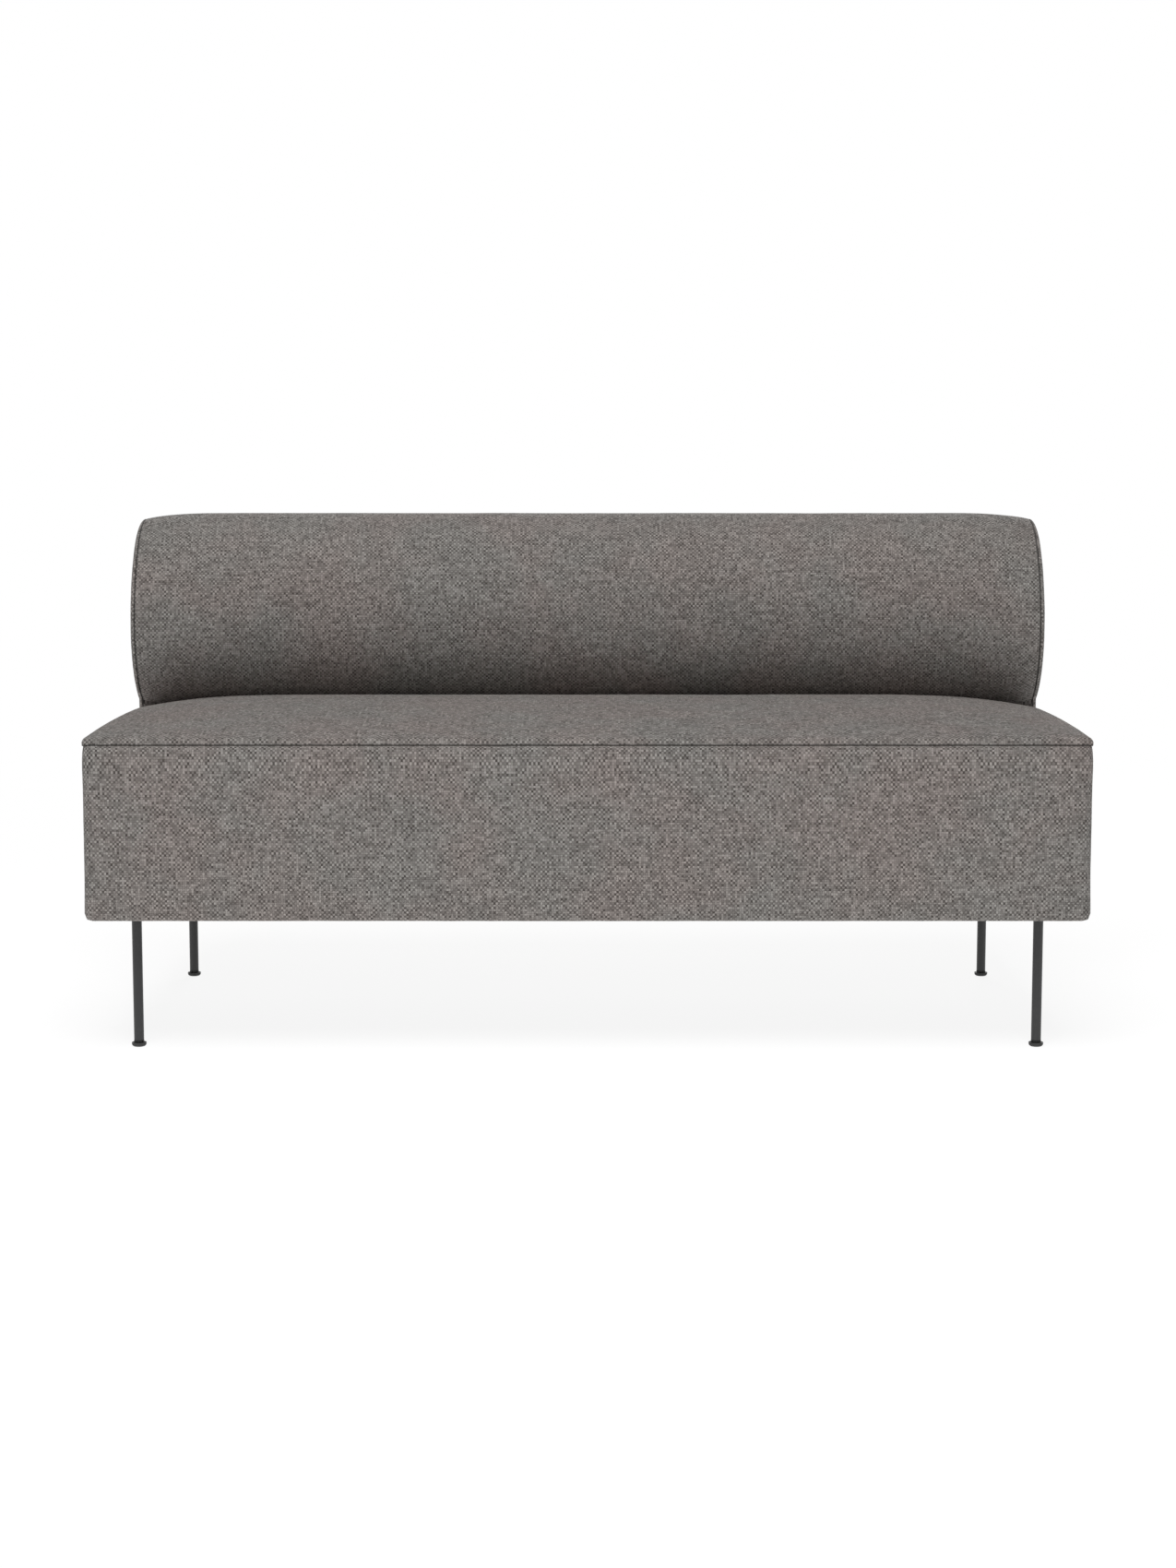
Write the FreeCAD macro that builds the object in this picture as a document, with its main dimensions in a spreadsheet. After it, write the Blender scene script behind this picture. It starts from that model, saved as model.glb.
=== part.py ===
import FreeCAD, Part
import math
import os
import Sketcher

doc = FreeCAD.newDocument("ArmlessSofa")

# Driving dimensions, all in millimetres unless the note says otherwise.
# X runs along the sofa, its front faces -Y, and Z is the height above the floor.
dimensions = [
    ("overall_width", 1500, "over the bulging side panels"),
    ("overall_depth", 700, "front panel to rear panel"),
    ("overall_height", 800, "floor to the top of the back roll"),
    ("underside_height", 202, "floor to the underside of the upholstered base"),
    ("seam_height", 466, "floor to the seam round the seat top"),
    ("corner_radius", 14, "upright corners of the base, in plan"),
    ("bottom_radius", 10, "lower edges of the base"),
    ("seam_draw", 4.5, "how far the seam pulls the panels in"),
    ("seam_draw_height", 40, "height over which the panels are pulled in"),
    ("cover_thickness", 1.6, "woven cover"),
    ("pad_thickness", 13.4, "foam facing between frame and cover"),
    ("crown_rise", 37, "seat crown above the seam"),
    ("crown_bow", 9, "arching of the crown from front to back"),
    ("lip_height", 12, "rounded front lip of the seat top"),
    ("lip_overhang", 2.5, "how far the lip stands over the seam"),
    ("lip_setback", 8, "depth of the front lip"),
    ("end_lip_overhang", 3, "how far the lip stands over the seam at the two ends"),
    ("tuck_depth", 50, "depth over which the seat top dips under the roll"),
    ("tuck_rise", 4, "height above the seam at which the seat top meets the back"),
    ("tuck_bow", 3.5, "rounding of that dip"),
    ("board", 18, "plywood of the frames"),
    ("rail_height", 160, "side rails of the seat frame"),
    ("cross_rail_drop", 40, "cross rails below the webbing"),
    ("cross_rail_spacing", 490, "centre to centre of the two cross rails"),
    ("ledger_width", 25, "batten that carries the rear ends of the webbing"),
    ("ledger_height", 40, "height of that batten"),
    ("strap_thickness", 2, "elastic webbing"),
    ("strap_width", 60, "elastic webbing"),
    ("strap_margin", 65, "side rail to the middle of the first strap"),
    ("strap_rows", 4, "count, running along X"),
    ("strap_columns", 10, "count, running along Y"),
    ("hem", 30, "cover turned in under the frame"),
    ("dust_cover_thickness", 0.8, "non-woven cloth under the base"),
    ("dust_cover_margin", 5, "frame left bare round that cloth"),
    ("block_size", 100, "corner block, square in plan"),
    ("block_height", 36, "corner block"),
    ("leg_inset", 68, "leg axis inside the widest faces of the base"),
    ("plate_size", 60, "leg mounting plate, square"),
    ("plate_thickness", 4, "leg mounting plate"),
    ("plate_screw_spacing", 42, "between plate screws, both ways"),
    ("plate_screw_diameter", 4.2, "shank of a countersunk wood screw"),
    ("plate_screw_head", 8.4, "head of a countersunk wood screw"),
    ("plate_screw_length", 25, "head and shank"),
    ("rail_screw_diameter", 5, "wood screw through the long rails"),
    ("rail_screw_length", 60, "wood screw through the long rails"),
    ("leg_diameter", 15, "steel tube"),
    ("leg_wall", 1.5, "steel tube"),
    ("leg_stud_diameter", 10, "threaded stud on top of a leg"),
    ("leg_stud_length", 20, "threaded stud on top of a leg"),
    ("leg_plug_height", 8, "solid end that carries the stud"),
    ("insert_length", 24, "threaded insert in the tube's lower end"),
    ("insert_flange", 1.2, "flange of that insert"),
    ("glide_diameter", 22, "foot pad"),
    ("glide_height", 6, "foot pad"),
    ("glide_edge", 4, "rounding of the pad's lower edge"),
    ("glide_socket_depth", 3, "blind hole in the pad for the stud"),
    ("glide_stud_diameter", 8, "threaded stud of a foot"),
    ("glide_stud_length", 31, "threaded stud of a foot"),
    ("collar_diameter", 15.4, "notched collar that turns the stud"),
    ("collar_height", 3, "notched collar"),
    ("collar_gap", 0.2, "free space above and below the collar"),
    ("notches", 10, "count, round the collar"),
    ("notch_width", 1.6, "notch in the collar"),
    ("notch_depth", 1, "notch in the collar"),
    ("running_clearance", 0.05, "radial, between stud and bore"),
    ("drill_clearance", 0.1, "radial, between a screw and its hole"),
    ("neck_depth", 188, "back where it stands on the base"),
    ("roll_radius", 135, "lower front of the back roll, at its end seam"),
    ("roll_setback", 123, "centre of that curve in front of the rear face"),
    ("roll_centre_height", 143, "centre of that curve above the seam"),
    ("roll_top_radius", 115, "top of the back roll, at its end seam"),
    ("roll_swell", 11, "how much fuller the roll is in its middle"),
    ("roll_swell_run", 140, "length over which each end fills out"),
    ("end_dome", 8, "how far the end panels stand out past their seam"),
    ("end_dome_run", 30, "rounding of the end panels, across the face"),
    ("back_end_foam", 14, "foam between end seam and back frame"),
    ("back_top_foam", 99, "foam above the back frame, at the end seam"),
    ("back_rear_foam", 10.4, "foam behind the back frame"),
    ("back_base_depth", 162, "base board of the back"),
    ("back_box_depth", 152, "upright box of the back"),
    ("front_board", 5, "thin plywood under the front foam of the back"),
    ("rear_board", 9, "plywood at the rear of the back"),
    ("back_ribs", 5, "count, along the back"),
    ("bolt_diameter", 8, "bolt between base and back"),
    ("bolt_length", 50, "shank of that bolt"),
    ("bolt_head_width", 13, "hexagon across its flats"),
    ("bolt_head_height", 5.3, "hexagon head"),
    ("nut_height", 6.8, "hexagon nut"),
    ("bolt_spacing", 400, "between bolts along the back"),
    ("bolts", 4, "count, along the back"),
]
sheet = doc.addObject("Spreadsheet::Sheet", "Sizes")
for row, (alias, number, note) in enumerate(dimensions, start=1):
    sheet.set(f"A{row}", alias)
    sheet.set(f"B{row}", str(number))
    sheet.set(f"C{row}", note)
    sheet.setAlias(f"B{row}", alias)
doc.recompute()

subParts = []
left, right, front, rear = -1, 1, -1, 1
corners = {
    "front_left": (left, front),
    "front_right": (right, front),
    "rear_left": (left, rear),
    "rear_right": (right, rear),
}


def size(alias):
    return float(sheet.get(alias))


def value(expression):
    result = sheet.evalExpression(expression)
    return float(getattr(result, "Value", result))


def bind(thing, **expressions):
    for name, expression in expressions.items():
        thing.setExpression(name, expression)


def place(thing, x="0 mm", y="0 mm", z="0 mm"):
    thing.setExpression("Placement.Base.x", x)
    thing.setExpression("Placement.Base.y", y)
    thing.setExpression("Placement.Base.z", z)


def keep(thing, label):
    thing.Label = label
    subParts.append(thing)
    return thing


# Blocks and cylinders, given by their lengths and the place of their lowest corner or foot

def addBlock(name, length, width, height, x, y, z):
    block = doc.addObject("Part::Box", name)
    bind(block, Length=length, Width=width, Height=height)
    place(block, x, y, z)
    return block


def addRod(name, diameter, height, x, y, z):
    rod = doc.addObject("Part::Cylinder", name)
    bind(rod, Radius=f"({diameter}) / 2", Height=height)
    place(rod, x, y, z)
    return rod


def addGroup(name, pieces):
    group = doc.addObject("Part::Compound", name)
    group.Links = pieces
    return group


def addCut(name, blank, holes):
    cut = doc.addObject("Part::Cut", name)
    cut.Base = blank
    cut.Tool = addGroup(name + "_holes", holes)
    return cut


def addShape(name, shape):
    feature = doc.addObject("Part::Feature", name)
    feature.Shape = shape
    feature.Placement = FreeCAD.Placement()
    return keep(feature, name)


# A closed sketch through corner points whose coordinates are expressions of the sheet

def fixCoordinate(sketch, corner, kind, axis, expression, number):
    if abs(number) < 1e-9:
        sketch.addConstraint(Sketcher.Constraint("PointOnObject", corner, 1, axis))
        return
    index = sketch.addConstraint(Sketcher.Constraint(kind, -1, 1, corner, 1, number))
    sketch.setExpression(f"Constraints[{index}]", expression)


def addSketch(body, name, planeRole):
    plane = next(item for item in body.Origin.OriginFeatures if item.Role == planeRole)
    sketch = body.newObject("Sketcher::SketchObject", name)
    sketch.AttachmentSupport = [(plane, "")]
    sketch.MapMode = "FlatFace"
    return sketch


def addOutline(body, planeRole, points):
    sketch = addSketch(body, body.Name + "_outline", planeRole)
    spots = [FreeCAD.Vector(value(across), value(up), 0) for across, up in points]
    for start, end in zip(spots, spots[1:] + spots[:1]):
        sketch.addGeometry(Part.LineSegment(start, end), False)
    last = len(points) - 1
    for corner, (across, up) in enumerate(points):
        before = corner - 1 if corner else last
        sketch.addConstraint(Sketcher.Constraint("Coincident", before, 2, corner, 1))
        fixCoordinate(sketch, corner, "DistanceX", -2, across, spots[corner].x)
        fixCoordinate(sketch, corner, "DistanceY", -1, up, spots[corner].y)
    return sketch


def addTurned(name, points):
    body = doc.addObject("PartDesign::Body", name)
    sketch = addOutline(body, "XZ_Plane", points)
    turned = body.newObject("PartDesign::Revolution", name + "_turned")
    turned.Profile = sketch
    turned.ReferenceAxis = (sketch, ["V_Axis"])
    turned.Angle = 360
    body.Tip = turned
    return body


# Places that several pieces share

halfWidth = "Sizes.overall_width / 2"
halfDepth = "Sizes.overall_depth / 2"
frameX = f"({halfWidth} - Sizes.cover_thickness - Sizes.pad_thickness)"
frameY = f"({halfDepth} - Sizes.cover_thickness - Sizes.pad_thickness)"
innerX = f"({frameX} - Sizes.board)"
innerY = f"({frameY} - Sizes.board)"
frameBottom = "(Sizes.underside_height + Sizes.cover_thickness)"
sideRailTop = f"({frameBottom} + Sizes.rail_height)"
frontRailTop = f"({sideRailTop} + Sizes.strap_thickness)"
webbingTop = f"({frontRailTop} + Sizes.strap_thickness)"
deckBottom = "(Sizes.seam_height - Sizes.board)"
neckFront = f"({halfDepth} - Sizes.neck_depth)"
supportFront = f"({neckFront} + Sizes.cover_thickness)"
supportRear = f"({supportFront} + Sizes.board)"
ledgerFront = f"({supportFront} - Sizes.ledger_width)"
legX = f"({halfWidth} - Sizes.leg_inset)"
legY = f"({halfDepth} - Sizes.leg_inset)"
endSeamX = f"({halfWidth} - Sizes.end_dome)"
backX = f"({endSeamX} - Sizes.back_end_foam)"
backRear = f"({halfDepth} - Sizes.cover_thickness - Sizes.back_rear_foam)"
backTop = "(Sizes.overall_height - Sizes.roll_swell - Sizes.back_top_foam)"
boxFront = f"({backRear} - Sizes.back_box_depth)"
baseBoardTop = "(Sizes.seam_height + Sizes.board)"


# Soft forms: ruled lofts through outlines of lines and arcs.
# inset draws the same form in on every side, which gives the foam inside the cover.

def wireThrough(corner, runs):
    # Each run is its end point alone, or a point on its arc and then its end point
    edges = []
    start = corner
    for run in runs:
        curve = Part.Arc(start, *run) if len(run) == 2 else Part.LineSegment(start, *run)
        edges.append(curve.toShape())
        start = run[-1]
    return Part.Wire(edges)


def roundedRectangle(reachX, reachY, radius, height):
    corner = []
    for quarter, (signX, signY) in enumerate(((1, 1), (-1, 1), (-1, -1), (1, -1))):
        for step in range(3):
            angle = math.radians(90 * quarter + 45 * step)
            corner.append(FreeCAD.Vector(
                signX * (reachX - radius) + radius * math.cos(angle),
                signY * (reachY - radius) + radius * math.sin(angle),
                height))
    runs = []
    for first in range(0, 12, 3):
        runs.append((corner[first + 1], corner[first + 2]))
        runs.append((corner[(first + 3) % 12],))
    return wireThrough(corner[0], runs)


def baseForm(inset):
    # A quarter round at the lower edge, and an elliptic pull towards the seam at the top
    edge = size("bottom_radius") - inset
    bottom = size("underside_height") + inset
    rings = []
    for step in range(6):
        angle = math.radians(18 * step)
        rings.append((edge * (1 - math.sin(angle)), bottom + edge * (1 - math.cos(angle))))
    for step in range(5):
        angle = math.radians(20 * step)
        reach = size("seam_draw_height") * math.sin(angle) / math.sin(math.radians(80))
        drawn = size("seam_draw") * (1 - math.cos(angle)) / (1 - math.cos(math.radians(80)))
        rings.append((drawn, size("seam_height") - size("seam_draw_height") + reach))
    wires = []
    for drawn, height in rings:
        wires.append(roundedRectangle(
            size("overall_width") / 2 - inset - drawn,
            size("overall_depth") / 2 - inset - drawn,
            max(size("corner_radius") - inset - drawn, 0.5),
            height))
    return Part.makeLoft(wires, True, True)


def seatSlice(x, foot, lip, rise, tuck, inset):
    # Upright slice from the front lip to the neck of the back; heights are above the seam
    seam = size("seam_height")
    fullness = rise / size("crown_rise")
    frontY = size("seam_draw") + inset - size("overall_depth") / 2
    lipY = frontY + size("lip_setback")
    backY = value(neckFront) - inset
    dipY = backY + inset - size("tuck_depth")

    def at(y, height):
        return FreeCAD.Vector(x, y, seam + height)

    lipBulge = size("lip_overhang") * (lip - foot) / size("lip_height")
    return wireThrough(at(backY, foot), [
        (at(frontY, foot),),
        (at(frontY - lipBulge, foot + 0.45 * (lip - foot)), at(lipY, lip)),
        (at((lipY + dipY) / 2, (lip + rise) / 2 + size("crown_bow") * fullness), at(dipY, rise)),
        (at((dipY + backY) / 2, (rise + tuck) / 2 + size("tuck_bow") * fullness), at(backY, tuck)),
        (at(backY, foot),)])


def seatForm(inset):
    seamX = size("overall_width") / 2 - size("seam_draw") - inset
    lip = size("lip_height")
    tipX = seamX + size("end_lip_overhang")
    tip = [0.25 * lip + inset / 2] + [share * lip - inset / 2 for share in (0.55, 0.6, 0.5)]
    half = [(tipX, *tip)]
    for share in (1, 0.985, 0.96, 0.92, 0.86, 0.76, 0.6):
        rise = lip + (size("crown_rise") - lip) * (1.04 - share ** 8)
        half.append((seamX * share, 0, lip - inset, rise - inset, size("tuck_rise") - inset))
    stations = half + [(-x, *heights) for x, *heights in reversed(half)]
    return Part.makeLoft([seatSlice(*station, inset) for station in stations], True, True)


def rollSlice(x, swell, inset):
    # Neck on the base, full lower front, round top, and a flat rear
    seam = size("seam_height")
    rearY = size("overall_depth") / 2 - inset
    neckY = value(neckFront) + inset
    halfDeep = size("overall_depth") / 2
    lower = FreeCAD.Vector(x, halfDeep - size("roll_setback"), seam + size("roll_centre_height"))
    lowerRadius = size("roll_radius") + swell - inset
    upper = FreeCAD.Vector(
        x,
        halfDeep - size("roll_top_radius") - swell,
        size("overall_height") - size("roll_swell") - size("roll_top_radius"))
    upperRadius = size("roll_top_radius") + swell - inset

    def around(centre, radius, degrees):
        angle = math.radians(degrees)
        return centre + FreeCAD.Vector(0, -radius * math.cos(angle), radius * math.sin(angle))

    pinchAngle = -math.degrees(math.acos((lower.y - neckY) / lowerRadius))
    pinch = around(lower, lowerRadius, pinchAngle)
    belly = around(lower, lowerRadius, 0)
    shoulder = around(upper, upperRadius, 45)
    # The front between belly and shoulder is an arc that leaves the belly upright
    run, climb = shoulder.y - belly.y, shoulder.z - belly.z
    frontRadius = (run * run + climb * climb) / (2 * run)
    frontCentre = belly + FreeCAD.Vector(0, frontRadius, 0)
    frontTurn = math.degrees(math.asin(climb / frontRadius))
    rearStart = around(upper, upperRadius, 180)
    return wireThrough(FreeCAD.Vector(x, rearY, seam), [
        (FreeCAD.Vector(x, neckY, seam),),
        (pinch,),
        (around(lower, lowerRadius, pinchAngle / 2), belly),
        (around(frontCentre, frontRadius, frontTurn / 2), shoulder),
        (around(upper, upperRadius, 112), rearStart),
        (FreeCAD.Vector(x, rearY, seam),)])


def rollForm(inset):
    # Domed end panel, end seam, then the roll fills out towards its middle
    seamX = value(endSeamX)
    dome = size("end_dome") - inset
    half = []
    for angle in (90, 60, 30):
        turn = math.radians(angle)
        half.append((seamX + dome * math.sin(turn), 0, inset + size("end_dome_run") * (1 - math.cos(turn))))
    for step in range(6):
        share = step / 5
        swell = size("roll_swell") * (1 - (1 - share) ** 3)
        half.append((seamX - size("roll_swell_run") * share, swell, inset))
    stations = half + [(-x, swell, drawn) for x, swell, drawn in reversed(half)]
    return Part.makeLoft([rollSlice(*station) for station in stations], True, True)


def solidBlock(x0, x1, y0, y1, z0, z1):
    corner = FreeCAD.Vector(value(x0), value(y0), value(z0))
    return Part.makeBox(
        value(x1) - corner.x, value(y1) - corner.y, value(z1) - corner.z, corner)


# Seat frame: plywood rails on edge, with corner blocks for the legs

def rodAlongY(name, diameter, length, x, y, z):
    rod = addRod(name, diameter, length, x, y, z)
    rod.Placement.Rotation = FreeCAD.Rotation(FreeCAD.Vector(1, 0, 0), -90)
    return rod


railScrews = {"front": [], "rear": [], "left": [], "right": []}
allRailScrews = []
railScrewHoles = {"front": [], "rear": [], "left": [], "right": []}
for sideName, side in (("left", left), ("right", right)):
    for endName, end in (("front", front), ("rear", rear)):
        for level, height in (("low", "Sizes.rail_height / 4"), ("high", "Sizes.rail_height * 3 / 4")):
            x = f"{side} * ({frameX} - Sizes.board / 2)"
            z = f"{frameBottom} + {height}"
            start = f"-{frameY}" if end == front else f"{frameY} - Sizes.rail_screw_length"
            tag = f"{endName}_{sideName}_{level}"
            allRailScrews.append(rodAlongY(
                "rail_screw_" + tag, "Sizes.rail_screw_diameter", "Sizes.rail_screw_length", x, start, z))
            hole = "Sizes.rail_screw_diameter + 2 * Sizes.drill_clearance"
            for part in (endName, sideName):
                railScrewHoles[part].append(rodAlongY(
                    f"{part}_hole_{tag}", hole, "Sizes.rail_screw_length", x, start, z))
keep(addGroup("rail_screws", allRailScrews), "rail_screws")

frontBlank = addBlock(
    "front_rail_blank", f"2 * {frameX}", "Sizes.board", f"{frontRailTop} - {frameBottom}",
    f"-{frameX}", f"-{frameY}", frameBottom)
rearBlank = addBlock(
    "rear_rail_blank", f"2 * {frameX}", "Sizes.board", f"{deckBottom} - {frameBottom}",
    f"-{frameX}", innerY, frameBottom)
leftBlank = addBlock(
    "left_rail_blank", "Sizes.board", f"2 * {innerY}", "Sizes.rail_height",
    f"-{frameX}", f"-{innerY}", frameBottom)
rightBlank = addBlock(
    "right_rail_blank", "Sizes.board", f"2 * {innerY}", "Sizes.rail_height",
    innerX, f"-{innerY}", frameBottom)
for name, blank in (("front", frontBlank), ("rear", rearBlank), ("left", leftBlank), ("right", rightBlank)):
    rail = addCut(f"seat_{name}_rail", blank, railScrewHoles[name])
    keep(rail, f"seat_{name}_rail")

keep(addBlock(
    "back_support_rail", f"2 * {innerX}", "Sizes.board", f"{deckBottom} - {frameBottom}",
    f"-{innerX}", supportFront, frameBottom), "back_support_rail")
keep(addBlock(
    "webbing_ledger", f"2 * {innerX}", "Sizes.ledger_width", "Sizes.ledger_height",
    f"-{innerX}", ledgerFront, f"{frontRailTop} - Sizes.ledger_height"), "webbing_ledger")

crossRails = []
spacers = []
for sideName, side in (("left", left), ("right", right)):
    x = f"{side} * Sizes.cross_rail_spacing / 2 - Sizes.board / 2"
    crossRails.append(addBlock(
        "cross_rail_" + sideName, "Sizes.board", f"{ledgerFront} + {innerY}",
        "Sizes.rail_height - Sizes.cross_rail_drop", x, f"-{innerY}", frameBottom))
    spacers.append(addBlock(
        "spacer_" + sideName, "Sizes.board", f"{innerY} - {supportRear}",
        f"{deckBottom} - {frameBottom}", x, supportRear, frameBottom))
    outer = f"-{frameX}" if side == left else innerX
    spacers.append(addBlock(
        "end_spacer_" + sideName, "Sizes.board", f"{innerY} - {supportFront}",
        f"{deckBottom} - {sideRailTop}", outer, supportFront, sideRailTop))
keep(addGroup("seat_cross_rails", crossRails), "seat_cross_rails")
keep(addGroup("deck_spacers", spacers), "deck_spacers")

# Bolts run up through the deck and the base board of the back, with the nuts on top

def addHexagon(name, height, hole, x, y, z):
    body = doc.addObject("PartDesign::Body", name)
    sketch = addSketch(body, name + "_outline", "XY_Plane")
    radius = size("bolt_head_width") / math.sqrt(3)
    spots = []
    for step in range(6):
        angle = math.radians(60 * step)
        spots.append(FreeCAD.Vector(radius * math.cos(angle), radius * math.sin(angle), 0))
    for start, end in zip(spots, spots[1:] + spots[:1]):
        sketch.addGeometry(Part.LineSegment(start, end), False)
    circle = sketch.addGeometry(Part.Circle(FreeCAD.Vector(), FreeCAD.Vector(0, 0, 1), radius), True)
    sketch.addConstraint(Sketcher.Constraint("Coincident", circle, 3, -1, 1))
    for side in range(6):
        sketch.addConstraint(Sketcher.Constraint("Coincident", side - 1 if side else 5, 2, side, 1))
        sketch.addConstraint(Sketcher.Constraint("PointOnObject", side, 1, circle))
    for side in range(5):
        sketch.addConstraint(Sketcher.Constraint("Equal", side, side + 1))
    sketch.addConstraint(Sketcher.Constraint("PointOnObject", 0, 1, -1))
    across = sketch.addConstraint(Sketcher.Constraint("Radius", circle, radius))
    sketch.setExpression(f"Constraints[{across}]", "Sizes.bolt_head_width / sqrt(3)")
    if hole:
        bore = sketch.addGeometry(Part.Circle(FreeCAD.Vector(), FreeCAD.Vector(0, 0, 1), radius / 2), False)
        sketch.addConstraint(Sketcher.Constraint("Coincident", bore, 3, -1, 1))
        width = sketch.addConstraint(Sketcher.Constraint("Diameter", bore, radius))
        sketch.setExpression(f"Constraints[{width}]", hole)
    pad = body.newObject("PartDesign::Pad", name + "_pad")
    pad.Profile = sketch
    pad.setExpression("Length", height)
    place(body, x, y, z)
    return body


boltHole = "Sizes.bolt_diameter + 2 * Sizes.drill_clearance"
boltY = f"(({boxFront} + Sizes.front_board + {backRear} - Sizes.rear_board) / 2)"
backBolts = []
backNuts = []
deckHoles = []
baseBoardHoles = []
for number in range(int(size("bolts"))):
    x = f"({number} - (Sizes.bolts - 1) / 2) * Sizes.bolt_spacing"
    head = addHexagon(
        f"bolt_head_{number + 1}", "Sizes.bolt_head_height", None, x, boltY,
        f"{deckBottom} - Sizes.bolt_head_height")
    shank = addRod(
        f"bolt_shank_{number + 1}", "Sizes.bolt_diameter", "Sizes.bolt_length", x, boltY, deckBottom)
    bolt = doc.addObject("Part::Fuse", f"bolt_{number + 1}")
    bolt.Base = head
    bolt.Tool = shank
    backBolts.append(bolt)
    backNuts.append(addHexagon(f"nut_{number + 1}", "Sizes.nut_height", boltHole, x, boltY, baseBoardTop))
    deckHoles.append(addRod(f"deck_hole_{number + 1}", boltHole, "Sizes.board", x, boltY, deckBottom))
    baseBoardHoles.append(addRod(
        f"base_board_hole_{number + 1}", boltHole, "Sizes.board", x, boltY, "Sizes.seam_height"))
keep(addGroup("back_bolts", backBolts), "back_bolts")
keep(addGroup("back_nuts", backNuts), "back_nuts")
deckBlank = addBlock(
    "deck_blank", f"2 * {frameX}", f"{frameY} - {supportFront}", "Sizes.board",
    f"-{frameX}", supportFront, deckBottom)
keep(addCut("back_deck_board", deckBlank, deckHoles), "back_deck_board")

# Corner blocks, leg plates and their countersunk screws

blocks = []
plates = []
plateScrews = []
for corner, (side, end) in corners.items():
    blockX = f"-{innerX}" if side == left else f"{innerX} - Sizes.block_size"
    blockY = f"-{innerY}" if end == front else f"{innerY} - Sizes.block_size"
    plateTop = f"{frameBottom} + Sizes.plate_thickness"
    blank = addBlock(
        f"block_blank_{corner}", "Sizes.block_size", "Sizes.block_size", "Sizes.block_height",
        blockX, blockY, plateTop)
    plate = addBlock(
        f"plate_blank_{corner}", "Sizes.plate_size", "Sizes.plate_size", "Sizes.plate_thickness",
        f"{side} * {legX} - Sizes.plate_size / 2", f"{end} * {legY} - Sizes.plate_size / 2", frameBottom)
    studHole = "Sizes.leg_stud_diameter + 2 * Sizes.drill_clearance"
    x, y = f"{side} * {legX}", f"{end} * {legY}"
    blockHoles = [addRod(f"block_stud_hole_{corner}", studHole, "Sizes.leg_stud_length", x, y, plateTop)]
    plateHoles = [addRod(f"plate_stud_hole_{corner}", studHole, "Sizes.plate_thickness", x, y, frameBottom)]
    for across in (left, right):
        for along in (front, rear):
            tag = f"{corner}_{len(plateHoles)}"
            x = f"{side} * {legX} + {across} * Sizes.plate_screw_spacing / 2"
            y = f"{end} * {legY} + {along} * Sizes.plate_screw_spacing / 2"
            slope = "(Sizes.plate_screw_head - Sizes.plate_screw_diameter) / 2"
            head = addTurned(f"plate_screw_{tag}", [
                ("0", "0"),
                ("Sizes.plate_screw_head / 2", "0"),
                ("Sizes.plate_screw_diameter / 2", slope),
                ("Sizes.plate_screw_diameter / 2", "Sizes.plate_screw_length"),
                ("0", "Sizes.plate_screw_length")])
            place(head, x, y, frameBottom)
            plateScrews.append(head)
            gap = "Sizes.drill_clearance"
            hole = addTurned(f"plate_hole_{tag}", [
                ("0", "0"),
                (f"Sizes.plate_screw_head / 2 + {gap}", "0"),
                (f"Sizes.plate_screw_diameter / 2 + {gap}", slope),
                (f"Sizes.plate_screw_diameter / 2 + {gap}", "Sizes.plate_screw_length"),
                ("0", "Sizes.plate_screw_length")])
            place(hole, x, y, frameBottom)
            plateHoles.append(hole)
            blockHoles.append(hole)
    blocks.append(addCut(f"block_{corner}", blank, blockHoles))
    plates.append(addCut(f"plate_{corner}", plate, plateHoles))
keep(addGroup("corner_blocks", blocks), "corner_blocks")
keep(addGroup("leg_plates", plates), "leg_plates")
keep(addGroup("leg_plate_screws", plateScrews), "leg_plate_screws")

# Legs: a steel tube with a solid upper end and stud. In its lower end sits the threaded
# insert, and the glide's stud turns in it with running clearance.

collarBottom = "(Sizes.glide_height + Sizes.collar_gap)"
collarTop = f"({collarBottom} + Sizes.collar_height)"
flangeBottom = f"({collarTop} + Sizes.collar_gap)"
tubeBottom = f"({flangeBottom} + Sizes.insert_flange)"
tubeBore = "(Sizes.leg_diameter / 2 - Sizes.leg_wall)"
studBore = "(Sizes.glide_stud_diameter / 2 + Sizes.running_clearance)"
studFoot = "(Sizes.glide_height - Sizes.glide_socket_depth)"


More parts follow.
